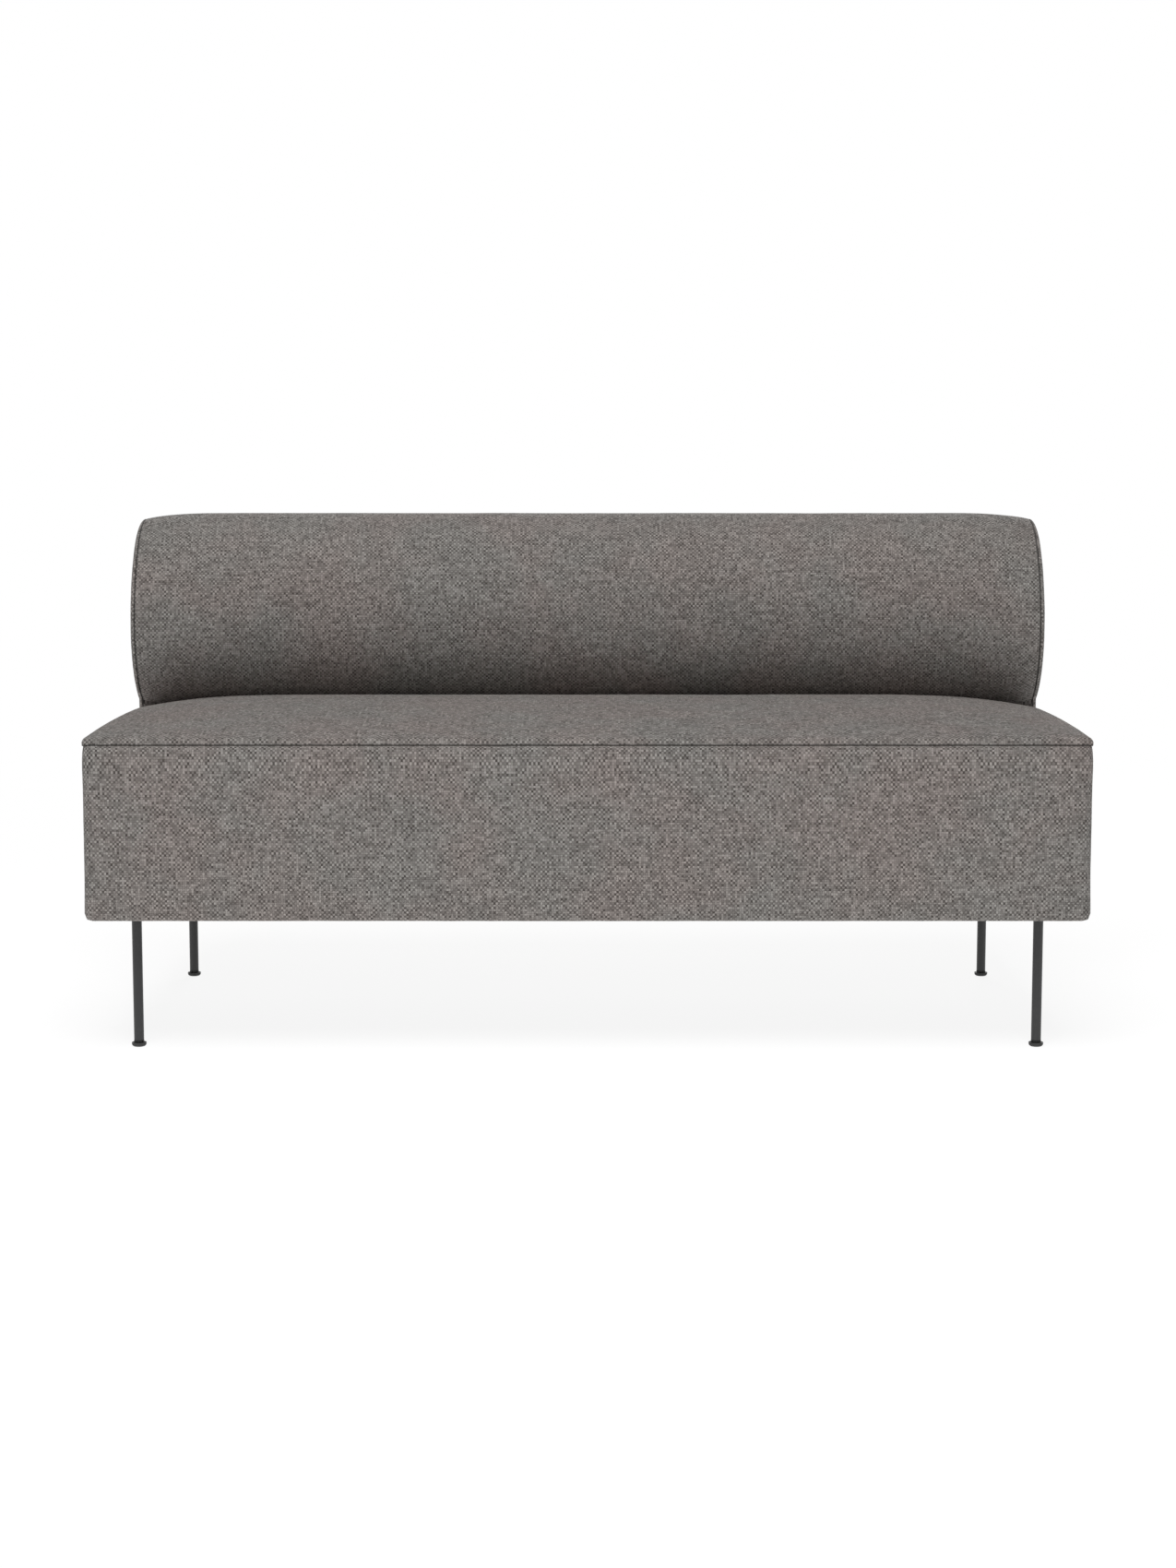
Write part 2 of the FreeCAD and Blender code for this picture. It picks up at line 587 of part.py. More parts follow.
def addNotches(body, name):
    sketch = addSketch(body, name + "_notch_outline", "XY_Plane")
    outerEdge = size("collar_diameter") / 2 + 1
    innerEdge = size("collar_diameter") / 2 - size("notch_depth")
    half = size("notch_width") / 2
    spots = [(innerEdge, -half), (outerEdge, -half), (outerEdge, half), (innerEdge, half)]
    spots = [FreeCAD.Vector(x, y, 0) for x, y in spots]
    for start, end in zip(spots, spots[1:] + spots[:1]):
        sketch.addGeometry(Part.LineSegment(start, end), False)
    for line in range(4):
        sketch.addConstraint(Sketcher.Constraint("Coincident", line - 1 if line else 3, 2, line, 1))
    for line, direction in enumerate(("Horizontal", "Vertical", "Horizontal")):
        sketch.addConstraint(Sketcher.Constraint(direction, line))
    sketch.addConstraint(Sketcher.Constraint("Symmetric", 0, 1, 2, 2, -1))
    bounds = {
        ("DistanceX", -1, 1, 0, 1, innerEdge): "Sizes.collar_diameter / 2 - Sizes.notch_depth",
        ("DistanceX", -1, 1, 0, 2, outerEdge): "Sizes.collar_diameter / 2 + 1",
        ("DistanceY", 0, 1, 2, 2, 2 * half): "Sizes.notch_width",
    }
    for constraint, expression in bounds.items():
        index = sketch.addConstraint(Sketcher.Constraint(*constraint))
        sketch.setExpression(f"Constraints[{index}]", expression)
    pocket = body.newObject("PartDesign::Pocket", name + "_notch")
    pocket.Profile = sketch
    pocket.Type = "ThroughAll"
    pocket.Midplane = True
    pattern = body.newObject("PartDesign::PolarPattern", name + "_notches")
    pattern.Originals = [pocket]
    axis = next(item for item in body.Origin.OriginFeatures if item.Role == "Z_Axis")
    pattern.Axis = (axis, [""])
    pattern.Angle = 360
    pattern.setExpression("Occurrences", "Sizes.notches")
    body.Tip = pattern


inserts = []
for corner, (side, end) in corners.items():
    x, y = f"{side} * {legX}", f"{end} * {legY}"
    leg = addTurned(f"leg_{corner}", [
        (tubeBore, tubeBottom),
        ("Sizes.leg_diameter / 2", tubeBottom),
        ("Sizes.leg_diameter / 2", frameBottom),
        ("Sizes.leg_stud_diameter / 2", frameBottom),
        ("Sizes.leg_stud_diameter / 2", f"{frameBottom} + Sizes.leg_stud_length"),
        ("0", f"{frameBottom} + Sizes.leg_stud_length"),
        ("0", f"{frameBottom} - Sizes.leg_plug_height"),
        (tubeBore, f"{frameBottom} - Sizes.leg_plug_height")])
    place(leg, x, y)
    keep(leg, f"leg_{corner}")
    insert = addTurned(f"insert_{corner}", [
        (studBore, flangeBottom),
        ("Sizes.leg_diameter / 2", flangeBottom),
        ("Sizes.leg_diameter / 2", tubeBottom),
        (tubeBore, tubeBottom),
        (tubeBore, f"{flangeBottom} + Sizes.insert_length"),
        (studBore, f"{flangeBottom} + Sizes.insert_length")])
    place(insert, x, y)
    inserts.append(insert)
    stud = addTurned(f"glide_stud_{corner}", [
        ("0", studFoot),
        ("Sizes.glide_stud_diameter / 2", studFoot),
        ("Sizes.glide_stud_diameter / 2", collarBottom),
        ("Sizes.collar_diameter / 2", collarBottom),
        ("Sizes.collar_diameter / 2", collarTop),
        ("Sizes.glide_stud_diameter / 2", collarTop),
        ("Sizes.glide_stud_diameter / 2", f"{studFoot} + Sizes.glide_stud_length"),
        ("0", f"{studFoot} + Sizes.glide_stud_length")])
    addNotches(stud, f"glide_stud_{corner}")
    place(stud, x, y)
    keep(stud, f"glide_stud_{corner}")
    pad = addTurned(f"glide_pad_{corner}", [
        ("0", "0"),
        ("Sizes.glide_diameter / 2", "0"),
        ("Sizes.glide_diameter / 2", "Sizes.glide_height"),
        (studBore, "Sizes.glide_height"),
        (studBore, studFoot),
        ("0", studFoot)])
    doc.recompute()
    disc = pad.Tip
    rim = [
        f"Edge{number}" for number, edge in enumerate(disc.Shape.Edges, start=1)
        if edge.BoundBox.ZMax < 0.001 and edge.BoundBox.XLength > size("glide_diameter") / 2]
    rounding = pad.newObject("PartDesign::Fillet", f"glide_pad_{corner}_edge")
    rounding.Base = (disc, rim)
    rounding.setExpression("Radius", "Sizes.glide_edge")
    pad.Tip = rounding
    place(pad, x, y)
    keep(pad, f"glide_pad_{corner}")
keep(addGroup("leg_inserts", inserts), "leg_inserts")

# Webbing: the long straps lie on the side rails, the short ones cross on top of them

longStraps = []
longRun = f"({ledgerFront} + {innerY} - Sizes.strap_width) / (Sizes.strap_rows + 1)"
for number in range(int(size("strap_rows"))):
    y = f"-{innerY} + {number + 1} * {longRun}"
    longStraps.append(addBlock(
        f"long_strap_{number + 1}", f"2 * {frameX}", "Sizes.strap_width", "Sizes.strap_thickness",
        f"-{frameX}", y, sideRailTop))
keep(addGroup("webbing_long_straps", longStraps), "webbing_long_straps")
shortStraps = []
shortRun = f"2 * ({innerX} - Sizes.strap_margin) / (Sizes.strap_columns - 1)"
for number in range(int(size("strap_columns"))):
    x = f"-{innerX} + Sizes.strap_margin + {number} * {shortRun} - Sizes.strap_width / 2"
    shortStraps.append(addBlock(
        f"short_strap_{number + 1}", "Sizes.strap_width", f"{supportFront} + {frameY}",
        "Sizes.strap_thickness", x, f"-{frameY}", frontRailTop))
keep(addGroup("webbing_short_straps", shortStraps), "webbing_short_straps")

# Seat upholstery: foam core on the webbing, crowned layer above, facings round the frame

keep(addBlock(
    "seat_foam_core", f"2 * {frameX}", f"{supportFront} + {frameY}", f"Sizes.seam_height - {webbingTop}",
    f"-{frameX}", f"-{frameY}", webbingTop), "seat_foam_core")

cover = size("cover_thickness")
seatFoam = seatForm(cover)
addShape("seat_foam_crown", seatFoam)
addShape("seat_cover_top", seatForm(0).cut(seatFoam))

baseInner = baseForm(cover)
facing = baseInner.cut(solidBlock(
    f"-{frameX}", frameX, f"-{frameY}", frameY, frameBottom, "Sizes.seam_height"))
facingZones = {
    "front": (f"-{halfWidth}", halfWidth, f"-{halfDepth}", f"-{frameY}"),
    "rear": (f"-{halfWidth}", halfWidth, frameY, halfDepth),
    "left": (f"-{halfWidth}", f"-{frameX}", f"-{frameY}", frameY),
    "right": (frameX, halfWidth, f"-{frameY}", frameY),
}
for name, zone in facingZones.items():
    addShape(f"seat_foam_{name}", facing.common(solidBlock(*zone, "0", "Sizes.seam_height")))

hemX = f"({frameX} - Sizes.hem)"
hemY = f"({frameY} - Sizes.hem)"
baseCover = baseForm(0).cut(baseInner).cut(solidBlock(
    f"-{hemX}", hemX, f"-{hemY}", hemY, "0", "Sizes.seam_height"))
cornerLine = f"({halfDepth} - Sizes.corner_radius)"
addShape("seat_cover_border", baseCover.common(solidBlock(
    f"-{halfWidth}", halfWidth, f"-{halfDepth}", cornerLine, "0", "Sizes.seam_height")))
addShape("seat_cover_rear", baseCover.common(solidBlock(
    f"-{halfWidth}", halfWidth, cornerLine, halfDepth, "0", "Sizes.seam_height")))

legHoles = []
for corner, (side, end) in corners.items():
    legHoles.append(addRod(
        f"dust_cover_hole_{corner}", "Sizes.leg_diameter + 2 * Sizes.drill_clearance",
        "Sizes.dust_cover_thickness", f"{side} * {legX}", f"{end} * {legY}",
        "Sizes.underside_height - Sizes.dust_cover_thickness"))
dustX = f"({frameX} - Sizes.dust_cover_margin)"
dustY = f"({frameY} - Sizes.dust_cover_margin)"
dustBlank = addBlock(
    "dust_cover_blank", f"2 * {dustX}", f"2 * {dustY}", "Sizes.dust_cover_thickness",
    f"-{dustX}", f"-{dustY}", "Sizes.underside_height - Sizes.dust_cover_thickness")
keep(addCut("dust_cover", dustBlank, legHoles), "dust_cover")

# Back: a plywood box on the deck, wrapped in foam and a cover with two end panels

baseBoardBlank = addBlock(
    "back_base_board_blank", f"2 * {backX}", "Sizes.back_base_depth", "Sizes.board",
    f"-{backX}", f"{backRear} - Sizes.back_base_depth", "Sizes.seam_height")
keep(addCut("back_base_board", baseBoardBlank, baseBoardHoles), "back_base_board")
boxHeight = f"({backTop} - {baseBoardTop})"
keep(addBlock(
    "back_front_board", f"2 * {backX}", "Sizes.front_board", boxHeight,
    f"-{backX}", boxFront, baseBoardTop), "back_front_board")
keep(addBlock(
    "back_rear_board", f"2 * {backX}", "Sizes.rear_board", boxHeight,
    f"-{backX}", f"{backRear} - Sizes.rear_board", baseBoardTop), "back_rear_board")
ribDepth = "(Sizes.back_box_depth - Sizes.front_board - Sizes.rear_board)"
keep(addBlock(
    "back_top_rail", f"2 * {backX}", ribDepth, "Sizes.board",
    f"-{backX}", f"{boxFront} + Sizes.front_board", f"{backTop} - Sizes.board"), "back_top_rail")
ribs = []
for number in range(int(size("back_ribs"))):
    x = f"-{backX} + {number} * (2 * {backX} - Sizes.board) / (Sizes.back_ribs - 1)"
    ribs.append(addBlock(
        f"back_rib_{number + 1}", "Sizes.board", ribDepth, f"{boxHeight} - Sizes.board",
        x, f"{boxFront} + Sizes.front_board", baseBoardTop))
keep(addGroup("back_ribs", ribs), "back_ribs")

rollInner = rollForm(cover)
backCavity = solidBlock(
    f"-{backX}", backX, f"{backRear} - Sizes.back_base_depth", backRear, "Sizes.seam_height", baseBoardTop)
backCavity = backCavity.fuse(solidBlock(f"-{backX}", backX, boxFront, backRear, baseBoardTop, backTop))
addShape("back_foam_roll", rollInner.cut(backCavity))
rollCover = rollForm(0).cut(rollInner)
rollZones = {
    "back_cover_wrap": (f"-{endSeamX}", endSeamX),
    "back_cover_left_end": (f"-{halfWidth}", f"-{endSeamX}"),
    "back_cover_right_end": (endSeamX, halfWidth),
}
for name, (start, end) in rollZones.items():
    addShape(name, rollCover.common(solidBlock(
        start, end, f"-{halfDepth}", halfDepth, "Sizes.seam_height", "Sizes.overall_height + 1")))

# Every object is checked before the shapes are written

doc.recompute()
for item in doc.Objects:
    if "Invalid" in item.State or "Error" in item.State:
        raise RuntimeError(f"{item.Label} is {item.State}")
os.makedirs("parts", exist_ok=True)
for part in subParts:
    if part.Shape.isNull() or not part.Shape.isValid():
        raise RuntimeError(f"{part.Label} has no valid shape")
    part.Shape.exportStep(f"parts/{part.Label}.step")
    print(part.Label, len(part.Shape.Solids), "solids", round(part.Shape.Volume), "mm3")
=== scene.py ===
import bisect
import itertools
import math

import bmesh
import bpy
from mathutils import Matrix, Vector, noise


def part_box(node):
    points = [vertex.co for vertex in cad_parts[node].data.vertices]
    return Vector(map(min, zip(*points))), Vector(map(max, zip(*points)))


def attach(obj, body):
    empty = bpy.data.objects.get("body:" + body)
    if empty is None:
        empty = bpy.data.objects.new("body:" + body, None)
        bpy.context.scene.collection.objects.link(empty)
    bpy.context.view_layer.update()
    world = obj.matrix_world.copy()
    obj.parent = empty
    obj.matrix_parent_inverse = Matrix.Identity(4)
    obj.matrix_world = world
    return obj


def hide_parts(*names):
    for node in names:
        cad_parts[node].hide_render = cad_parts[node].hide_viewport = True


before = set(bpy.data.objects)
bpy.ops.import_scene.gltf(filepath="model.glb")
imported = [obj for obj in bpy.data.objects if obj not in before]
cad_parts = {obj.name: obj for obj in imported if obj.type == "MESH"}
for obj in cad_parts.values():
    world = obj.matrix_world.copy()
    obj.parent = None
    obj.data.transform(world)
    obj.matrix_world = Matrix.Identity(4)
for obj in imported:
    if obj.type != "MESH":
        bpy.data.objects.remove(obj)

scene = bpy.context.scene
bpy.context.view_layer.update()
mm = 0.001
print("frame loaded:", len(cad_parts), "nodes")


# Camera and stage

cameraValues = {
    "place": (0.0007, -4.207, 0.866),
    "tilt": 83.246,             # degrees from straight down
    "lens": 60.35,
    "sensor": 36,
}
stageValues = {
    "floorReach": 14,
    "floorFade": (1.2, 4.0),    # the floor turns into the white backdrop between these distances
    "floorColour": (0.9, 0.9, 0.9, 1),
    "floorRoughness": 0.9,
    "floorShadow": 0.2,         # how much of the object's shadow the floor shows to the camera
    "floorGlow": 0.47,          # light that the floor gives off beside what falls on it
    "skyLight": 0.08,
    "keySize": 3.0,
    "keyPower": 205,
    "keyPlace": (-0.3, -2.65, 4.85),
    "fillSize": 2.5,
    "fillPower": 70,
    "fillPlace": (0.5, 4.6, 2.2),
    "aim": (0, 0, 0.5),
}

camera = bpy.data.objects.new("camera", bpy.data.cameras.new("camera"))
camera.data.lens = cameraValues["lens"]
camera.data.sensor_width = cameraValues["sensor"]
camera.location = cameraValues["place"]
camera.rotation_euler = (math.radians(cameraValues["tilt"]), 0, 0)
scene.collection.objects.link(camera)
scene.camera = camera
scene.view_settings.view_transform = "Standard"


def linkPiece(name, mesh):
    piece = bpy.data.objects.new(name, mesh)
    scene.collection.objects.link(piece)
    return piece


def meshFrom(name, bm, smooth=False):
    for face in bm.faces:
        face.smooth = smooth
    mesh = bpy.data.meshes.new(name)
    bm.to_mesh(mesh)
    bm.free()
    return mesh


def sofaPiece(name, mesh, material, wall=0.0, offset=0):
    # A piece that rides on the sofa body; wall gives a sheet its thickness
    mesh.materials.append(material)
    piece = linkPiece(name, mesh)
    if wall:
        thickness = piece.modifiers.new("cloth thickness", "SOLIDIFY")
        thickness.thickness = wall
        thickness.offset = offset
    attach(piece, "sofa")
    return piece


def addNode(tree, kind, **settings):
    node = tree.nodes.new(kind)
    for name, setting in settings.items():
        setattr(node, name, setting)
    return node


def isSocket(source):
    return isinstance(source, bpy.types.NodeSocket)


def feed(socket, source):
    # A socket takes another socket's output or a plain value
    if isSocket(source):
        socket.id_data.links.new(source, socket)
    else:
        socket.default_value = source


def give(node, **sources):
    # Several inputs of a node by name, with underscores for the spaces
    for name, source in sources.items():
        feed(node.inputs[name.replace("_", " ")], source)


def fedNode(kind, sources, **settings):
    # A node in the tree of its sources; sources: input's name or number -> socket or value
    tree = next(source.id_data for source in sources.values() if isSocket(source))
    node = addNode(tree, kind, **settings)
    for name, source in sources.items():
        feed(node.inputs[name], source)
    return node


def compute(operation, *sources, clamp=False):
    sources = dict(enumerate(sources))
    return fedNode("ShaderNodeMath", sources, operation=operation, use_clamp=clamp).outputs[0]


def times(first, second):
    return compute("MULTIPLY", first, second)


def plus(first, second, clamp=False):
    return compute("ADD", first, second, clamp=clamp)


def minus(first, second, clamp=False):
    return compute("SUBTRACT", first, second, clamp=clamp)


def vectorMath(operation, first, other=None):
    # other: a second vector, or the factor of SCALE
    sources = {0: first}
    if other is not None:
        sources["Scale" if operation == "SCALE" else 1] = other
    node = fedNode("ShaderNodeVectorMath", sources, operation=operation)
    return node.outputs["Value" if operation == "LENGTH" else "Vector"]


def blendValue(factor, low, high):
    return fedNode("ShaderNodeMix", {0: factor, 2: low, 3: high}, data_type="FLOAT").outputs[0]


def blendColour(factor, low, high, way="MIX"):
    sources = {0: factor, 6: low, 7: high}
    return fedNode("ShaderNodeMix", sources, data_type="RGBA", blend_type=way).outputs[2]


def remap(source, fromLow, fromHigh, toLow, toHigh, smooth=False):
    sources = dict(enumerate((source, fromLow, fromHigh, toLow, toHigh)))
    way = "SMOOTHSTEP" if smooth else "LINEAR"
    return fedNode("ShaderNodeMapRange", sources, interpolation_type=way).outputs[0]


def noiseAt(place, scale, detail=2, roughness=0.5, result="Fac"):
    sources = {"Vector": place, "Scale": scale, "Detail": detail, "Roughness": roughness}
    return fedNode("ShaderNodeTexNoise", sources).outputs[result]


def joinVector(x, y, z=0.0):
    return fedNode("ShaderNodeCombineXYZ", {0: x, 1: y, 2: z}).outputs[0]


def splitVector(source):
    return fedNode("ShaderNodeSeparateXYZ", {0: source}).outputs


def newGroup(name, inputs, outputs):
    # inputs: name -> default; a tuple makes a vector or colour socket
    group = bpy.data.node_groups.new(name, "ShaderNodeTree")
    kinds = {float: "NodeSocketFloat", 3: "NodeSocketVector", 4: "NodeSocketColor"}
    for label, default in inputs.items():
        kind = kinds[len(default)] if isinstance(default, tuple) else kinds[float]
        socket = group.interface.new_socket(name=label, in_out="INPUT", socket_type=kind)
        socket.default_value = default
    for label, kind in outputs.items():
        group.interface.new_socket(name=label, in_out="OUTPUT", socket_type=kinds[kind])
    start = group.nodes.new("NodeGroupInput").outputs
    end = group.nodes.new("NodeGroupOutput").inputs
    return group, start, end


def placeGroup(group, **sources):
    return fedNode("ShaderNodeGroup", sources, node_tree=group).outputs


def newMaterial(name):
    material = bpy.data.materials.new(name)
    material.use_nodes = True
    tree = material.node_tree
    return material, tree, tree.nodes["Principled BSDF"]


def bump(shader, height, distance, strength):
    node = fedNode("ShaderNodeBump", {"Height": height, "Distance": distance, "Strength": strength})
    feed(shader.inputs["Normal"], node.outputs[0])


def mixSurfaces(factor, first, second, end):
    node = fedNode("ShaderNodeMixShader", {0: factor, 1: first.outputs[0], 2: second.outputs[0]})
    feed(node.id_data.nodes[end].inputs["Surface"], node.outputs[0])


def objectPlace(tree):
    return addNode(tree, "ShaderNodeTexCoord").outputs["Object"]


def seenStraight(tree):
    # 1 where the camera, a gloss or a clear piece sees the surface
    rays = addNode(tree, "ShaderNodeLightPath").outputs
    seen = compute("MAXIMUM", rays["Is Camera Ray"], rays["Is Glossy Ray"])
    return compute("MAXIMUM", seen, rays["Is Transmission Ray"])


def addFloor():
    bm = bmesh.new()
    bmesh.ops.create_grid(bm, x_segments=1, y_segments=1, size=stageValues["floorReach"])
    floor = linkPiece("floor", meshFrom("floor", bm))
    material, tree, shader = newMaterial("pale floor")
    give(shader, Base_Color=stageValues["floorColour"], Roughness=stageValues["floorRoughness"],
         Specular_IOR_Level=0.0, Emission_Color=(1, 1, 1, 1), Emission_Strength=stageValues["floorGlow"])
    away = vectorMath("LENGTH", objectPlace(tree))
    shade = remap(away, *stageValues["floorFade"], stageValues["floorShadow"], 0, smooth=True)
    white = addNode(tree, "ShaderNodeEmission")
    mixSurfaces(times(seenStraight(tree), minus(1, shade)), shader, white, "Material Output")
    floor.data.materials.append(material)


def addLight():
    world = bpy.data.worlds.new("studio")
    scene.world = world
    world.use_nodes = True
    tree = world.node_tree
    soft, white = tree.nodes["Background"], addNode(tree, "ShaderNodeBackground")
    give(soft, Color=(1, 1, 1, 1), Strength=stageValues["skyLight"])
    give(white, Color=(1, 1, 1, 1))
    mixSurfaces(seenStraight(tree), soft, white, "World Output")
    for name in ("key", "fill"):
        panel = bpy.data.lights.new(name, "AREA")
        panel.size = stageValues[name + "Size"]
        panel.energy = stageValues[name + "Power"]
        lamp = bpy.data.objects.new(name, panel)
        lamp.location = stageValues[name + "Place"]
        aim = Vector(stageValues["aim"]) - lamp.location
        lamp.rotation_euler = aim.to_track_quat("-Z", "Y").to_euler()
        scene.collection.objects.link(lamp)


addFloor()
addLight()
print("camera, floor and light made")


# Upholstery cloth: a chunky two-colour hopsack, on each panel's own cloth coordinates

weaveValues = {
    "threadAcross": 3.32,       # mm between upright threads
    "threadUp": 3.42,           # mm between level threads
    "waver": 0.3,               # mm that a thread wanders
    # dark is the colour of the painted shade in the gaps between threads
    "dark": (0.086, 0.069, 0.061, 1),
    "low": (0.072, 0.065, 0.06, 1),
    "high": (0.372, 0.352, 0.335, 1),
    # light is the colour of the flecks, partly light yarn and partly a painted highlight on the thread
    # tops
    "light": (0.43, 0.415, 0.395, 1),
    "warm": (1.048, 0.984, 0.97, 1),
    "cool": (0.985, 1.0, 0.992, 1),
    "toneRange": (0.19, 0.86),
    "patchScale": 7.0,
    "fleckHighlightShare": 0.5,
    "gapShadeShare": 0.85,
    "roughness": (0.98, 0.86),  # in the gaps and on the threads
    "gloss": 0.18,
    "sheen": 0.12,
    "sheenRoughness": 0.6,
    "fuzzScale": 2600,
    "fuzz": 0.22,
    "bumpDepth": 0.7,           # mm
    "bumpStrength": 0.8,
    "slantRange": (0.45, 0.85),
    "slantContrast": 2.4,
    # Painted shade along the seams: its strength and the dark colour it blends towards
    "seamShade": 0.62,
    "seamShadeColour": (0.02, 0.018, 0.016, 1),
}
threadValues = {
    "wanderScale": 0.09,
    "slubUp": (7.31, 0.13),     # steps of the slub noise from thread to thread and along a thread
    "slubLevel": (5.17, 0.085),
    "slubRange": (0.3, 0.7),
    "thickUp": (0.8, 1.12),     # thread thickness as a share of the pitch
    "thickLevel": (0.78, 1.18),
    "bend": 2.1,                # how far a thread dives at the ends of its float
    "chance": 0.4,              # what the tone is made of
    "slub": 0.4,
    "level": 0.28,
    "fleckFrom": 0.86,
    "gapUnder": 0.5,
}


def makeHopsack():
    group, start, end = newGroup(
        "hopsack",
        {"Coordinates": (0.0, 0.0, 0.0), "Across": 3.3, "Up": 3.3, "Waver": 0.5},
        {"Height": float, "Tone": float, "Fleck": float, "GapShade": float})
    v = threadValues
    # Cloth coordinates in millimetres, wandering a little
    flat = vectorMath("SCALE", start["Coordinates"], 1000)
    wander = noiseAt(flat, v["wanderScale"], 3, result="Color")
    centred = vectorMath("SUBTRACT", wander, (0.5, 0.5, 0.5))
    shift = vectorMath("SCALE", centred, times(start["Waver"], 4))
    x, y, _ = splitVector(vectorMath("ADD", flat, shift))
    column = compute("DIVIDE", x, start["Across"])
    row = compute("DIVIDE", y, start["Up"])
    columnIndex = compute("FLOOR", column)
    rowIndex = compute("FLOOR", row)
    insideX = minus(minus(column, columnIndex), 0.5)
    insideY = minus(minus(row, rowIndex), 0.5)
    levelOnTop = compute("PINGPONG", plus(columnIndex, rowIndex), 1.0)
    # Slubs: each thread is thicker and thinner along its length
    apart, along = v["slubUp"]
    slubUp = noiseAt(joinVector(times(columnIndex, apart), times(row, along)), 1.0)
    apart, along = v["slubLevel"]
    slubLevel = noiseAt(joinVector(times(column, along), times(rowIndex, apart), 4.0), 1.0)
    thickUp = remap(slubUp, *v["slubRange"], *v["thickUp"])
    thickLevel = remap(slubLevel, *v["slubRange"], *v["thickLevel"])

    def dome(across, thick, along):
        side = compute("DIVIDE", times(across, 2), thick)
        side = minus(1, times(side, side), clamp=True)
        bend = times(times(along, along), v["bend"])
        return times(compute("SQRT", side), minus(1, bend))

    upright = dome(insideX, thickUp, insideY)
    level = dome(insideY, thickLevel, insideX)
    height = blendValue(levelOnTop, upright, level)
    cell = {"Vector": joinVector(columnIndex, rowIndex)}
    chance = fedNode("ShaderNodeTexWhiteNoise", cell, noise_dimensions="2D").outputs["Value"]
    slub = blendValue(levelOnTop, slubUp, slubLevel)
    tone = plus(times(chance, v["chance"]), times(slub, v["slub"]))
    feed(end["Height"], height)
    feed(end["Tone"], plus(tone, times(levelOnTop, v["level"])))
    feed(end["Fleck"], remap(chance, v["fleckFrom"], 1.0, 0, 1))
    # Where the threads dip: the mask of the painted shade between threads
    feed(end["GapShade"], remap(height, 0.0, v["gapUnder"], 1, 0))
    return group


def makeMottle():
    # Slow change of colour over a surface
    group, start, end = newGroup(
        "mottle",
        {"Coordinates": (0.0, 0.0, 0.0), "Scale": 6.0, "Low": (1.0, 1.0, 1.0, 1.0),
         "High": (1.0, 1.0, 1.0, 1.0)},
        {"Colour": 4})
    mask = noiseAt(start["Coordinates"], start["Scale"], 3, 0.55)
    mask = remap(mask, 0.32, 0.68, 0, 1, smooth=True)
    feed(end["Colour"], blendColour(mask, start["Low"], start["High"]))
    return group


hopsack = makeHopsack()
mottle = makeMottle()


def makeCoverCloth():
    v = weaveValues
    material, tree, shader = newMaterial("cover weave")
    flat = addNode(tree, "ShaderNodeUVMap", uv_map="cloth").outputs[0]
    weave = placeGroup(
        hopsack, Coordinates=flat, Across=v["threadAcross"], Up=v["threadUp"], Waver=v["waver"])
    # Seen at a slant the raised threads hide the ones between, and the pattern stands out more
    slant = addNode(tree, "ShaderNodeLayerWeight").outputs["Facing"]
    strength = remap(slant, *v["slantRange"], 1, v["slantContrast"], smooth=True)
    tone = minus(remap(weave["Tone"], *v["toneRange"], 0, 1), 0.5)
    tone = plus(times(tone, strength), 0.5, clamp=True)
    colour = blendColour(tone, v["low"], v["high"])
    # Light flecks on random threads, drawn only on the raised thread tops: partly light yarn, partly a
    # painted highlight
    fleckHighlight = times(weave["Fleck"], remap(weave["Height"], 0.35, 0.95, 0, 1))
    colour = blendColour(times(fleckHighlight, v["fleckHighlightShare"]), colour, v["light"])
    # Painted shade in the gaps between the threads
    colour = blendColour(times(weave["GapShade"], v["gapShadeShare"]), colour, v["dark"])
    patches = placeGroup(
        mottle, Coordinates=objectPlace(tree), Scale=v["patchScale"], Low=v["cool"], High=v["warm"])
    colour = blendColour(1.0, colour, patches["Colour"], "MULTIPLY")
    # Painted shade: the colour darkens along every seam
    seam = addNode(tree, "ShaderNodeAttribute", attribute_name="seam").outputs["Fac"]
    give(shader, Base_Color=blendColour(times(seam, v["seamShade"]), colour, v["seamShadeColour"]),
         Roughness=remap(weave["Height"], 0, 1, *v["roughness"]), Specular_IOR_Level=v["gloss"],
         Sheen_Weight=v["sheen"], Sheen_Roughness=v["sheenRoughness"])
    fuzz = noiseAt(flat, v["fuzzScale"], 2, 0.6)
    relief = plus(weave["Height"], times(fuzz, v["fuzz"]))
    bump(shader, relief, v["bumpDepth"] * mm, v["bumpStrength"])
    return material


coverCloth = makeCoverCloth()
foamSkinValues = {
    "cells": 900, "patchScale": 5.0, "bumpDepth": 0.4,
    "skin": (0.86, 0.83, 0.7, 1), "poreShade": (0.68, 0.63, 0.47, 1), "aged": (0.97, 0.93, 0.82, 1.0),
}


def makeFoamSkin():
    v = foamSkinValues
    material, tree, shader = newMaterial("open-cell foam")
    place = objectPlace(tree)
    cells = fedNode("ShaderNodeTexVoronoi", {"Vector": place, "Scale": v["cells"]})
    # Painted shade in the pores: the colour darkens where the cells dip
    pores = remap(cells.outputs["Distance"], 0.1, 0.7, 0, 1)
    ageing = placeGroup(mottle, Coordinates=place, Scale=v["patchScale"], High=v["aged"])
    colour = blendColour(pores, v["skin"], v["poreShade"])
    give(shader, Base_Color=blendColour(1.0, colour, ageing["Colour"], "MULTIPLY"),
         Roughness=0.95, Specular_IOR_Level=0.1)
    bump(shader, minus(1, pores), v["bumpDepth"] * mm, 0.7)
    return material


foam = makeFoamSkin()
print("cover cloth and foam made")


# Finishes of the rigid pieces and of the cloth underneath

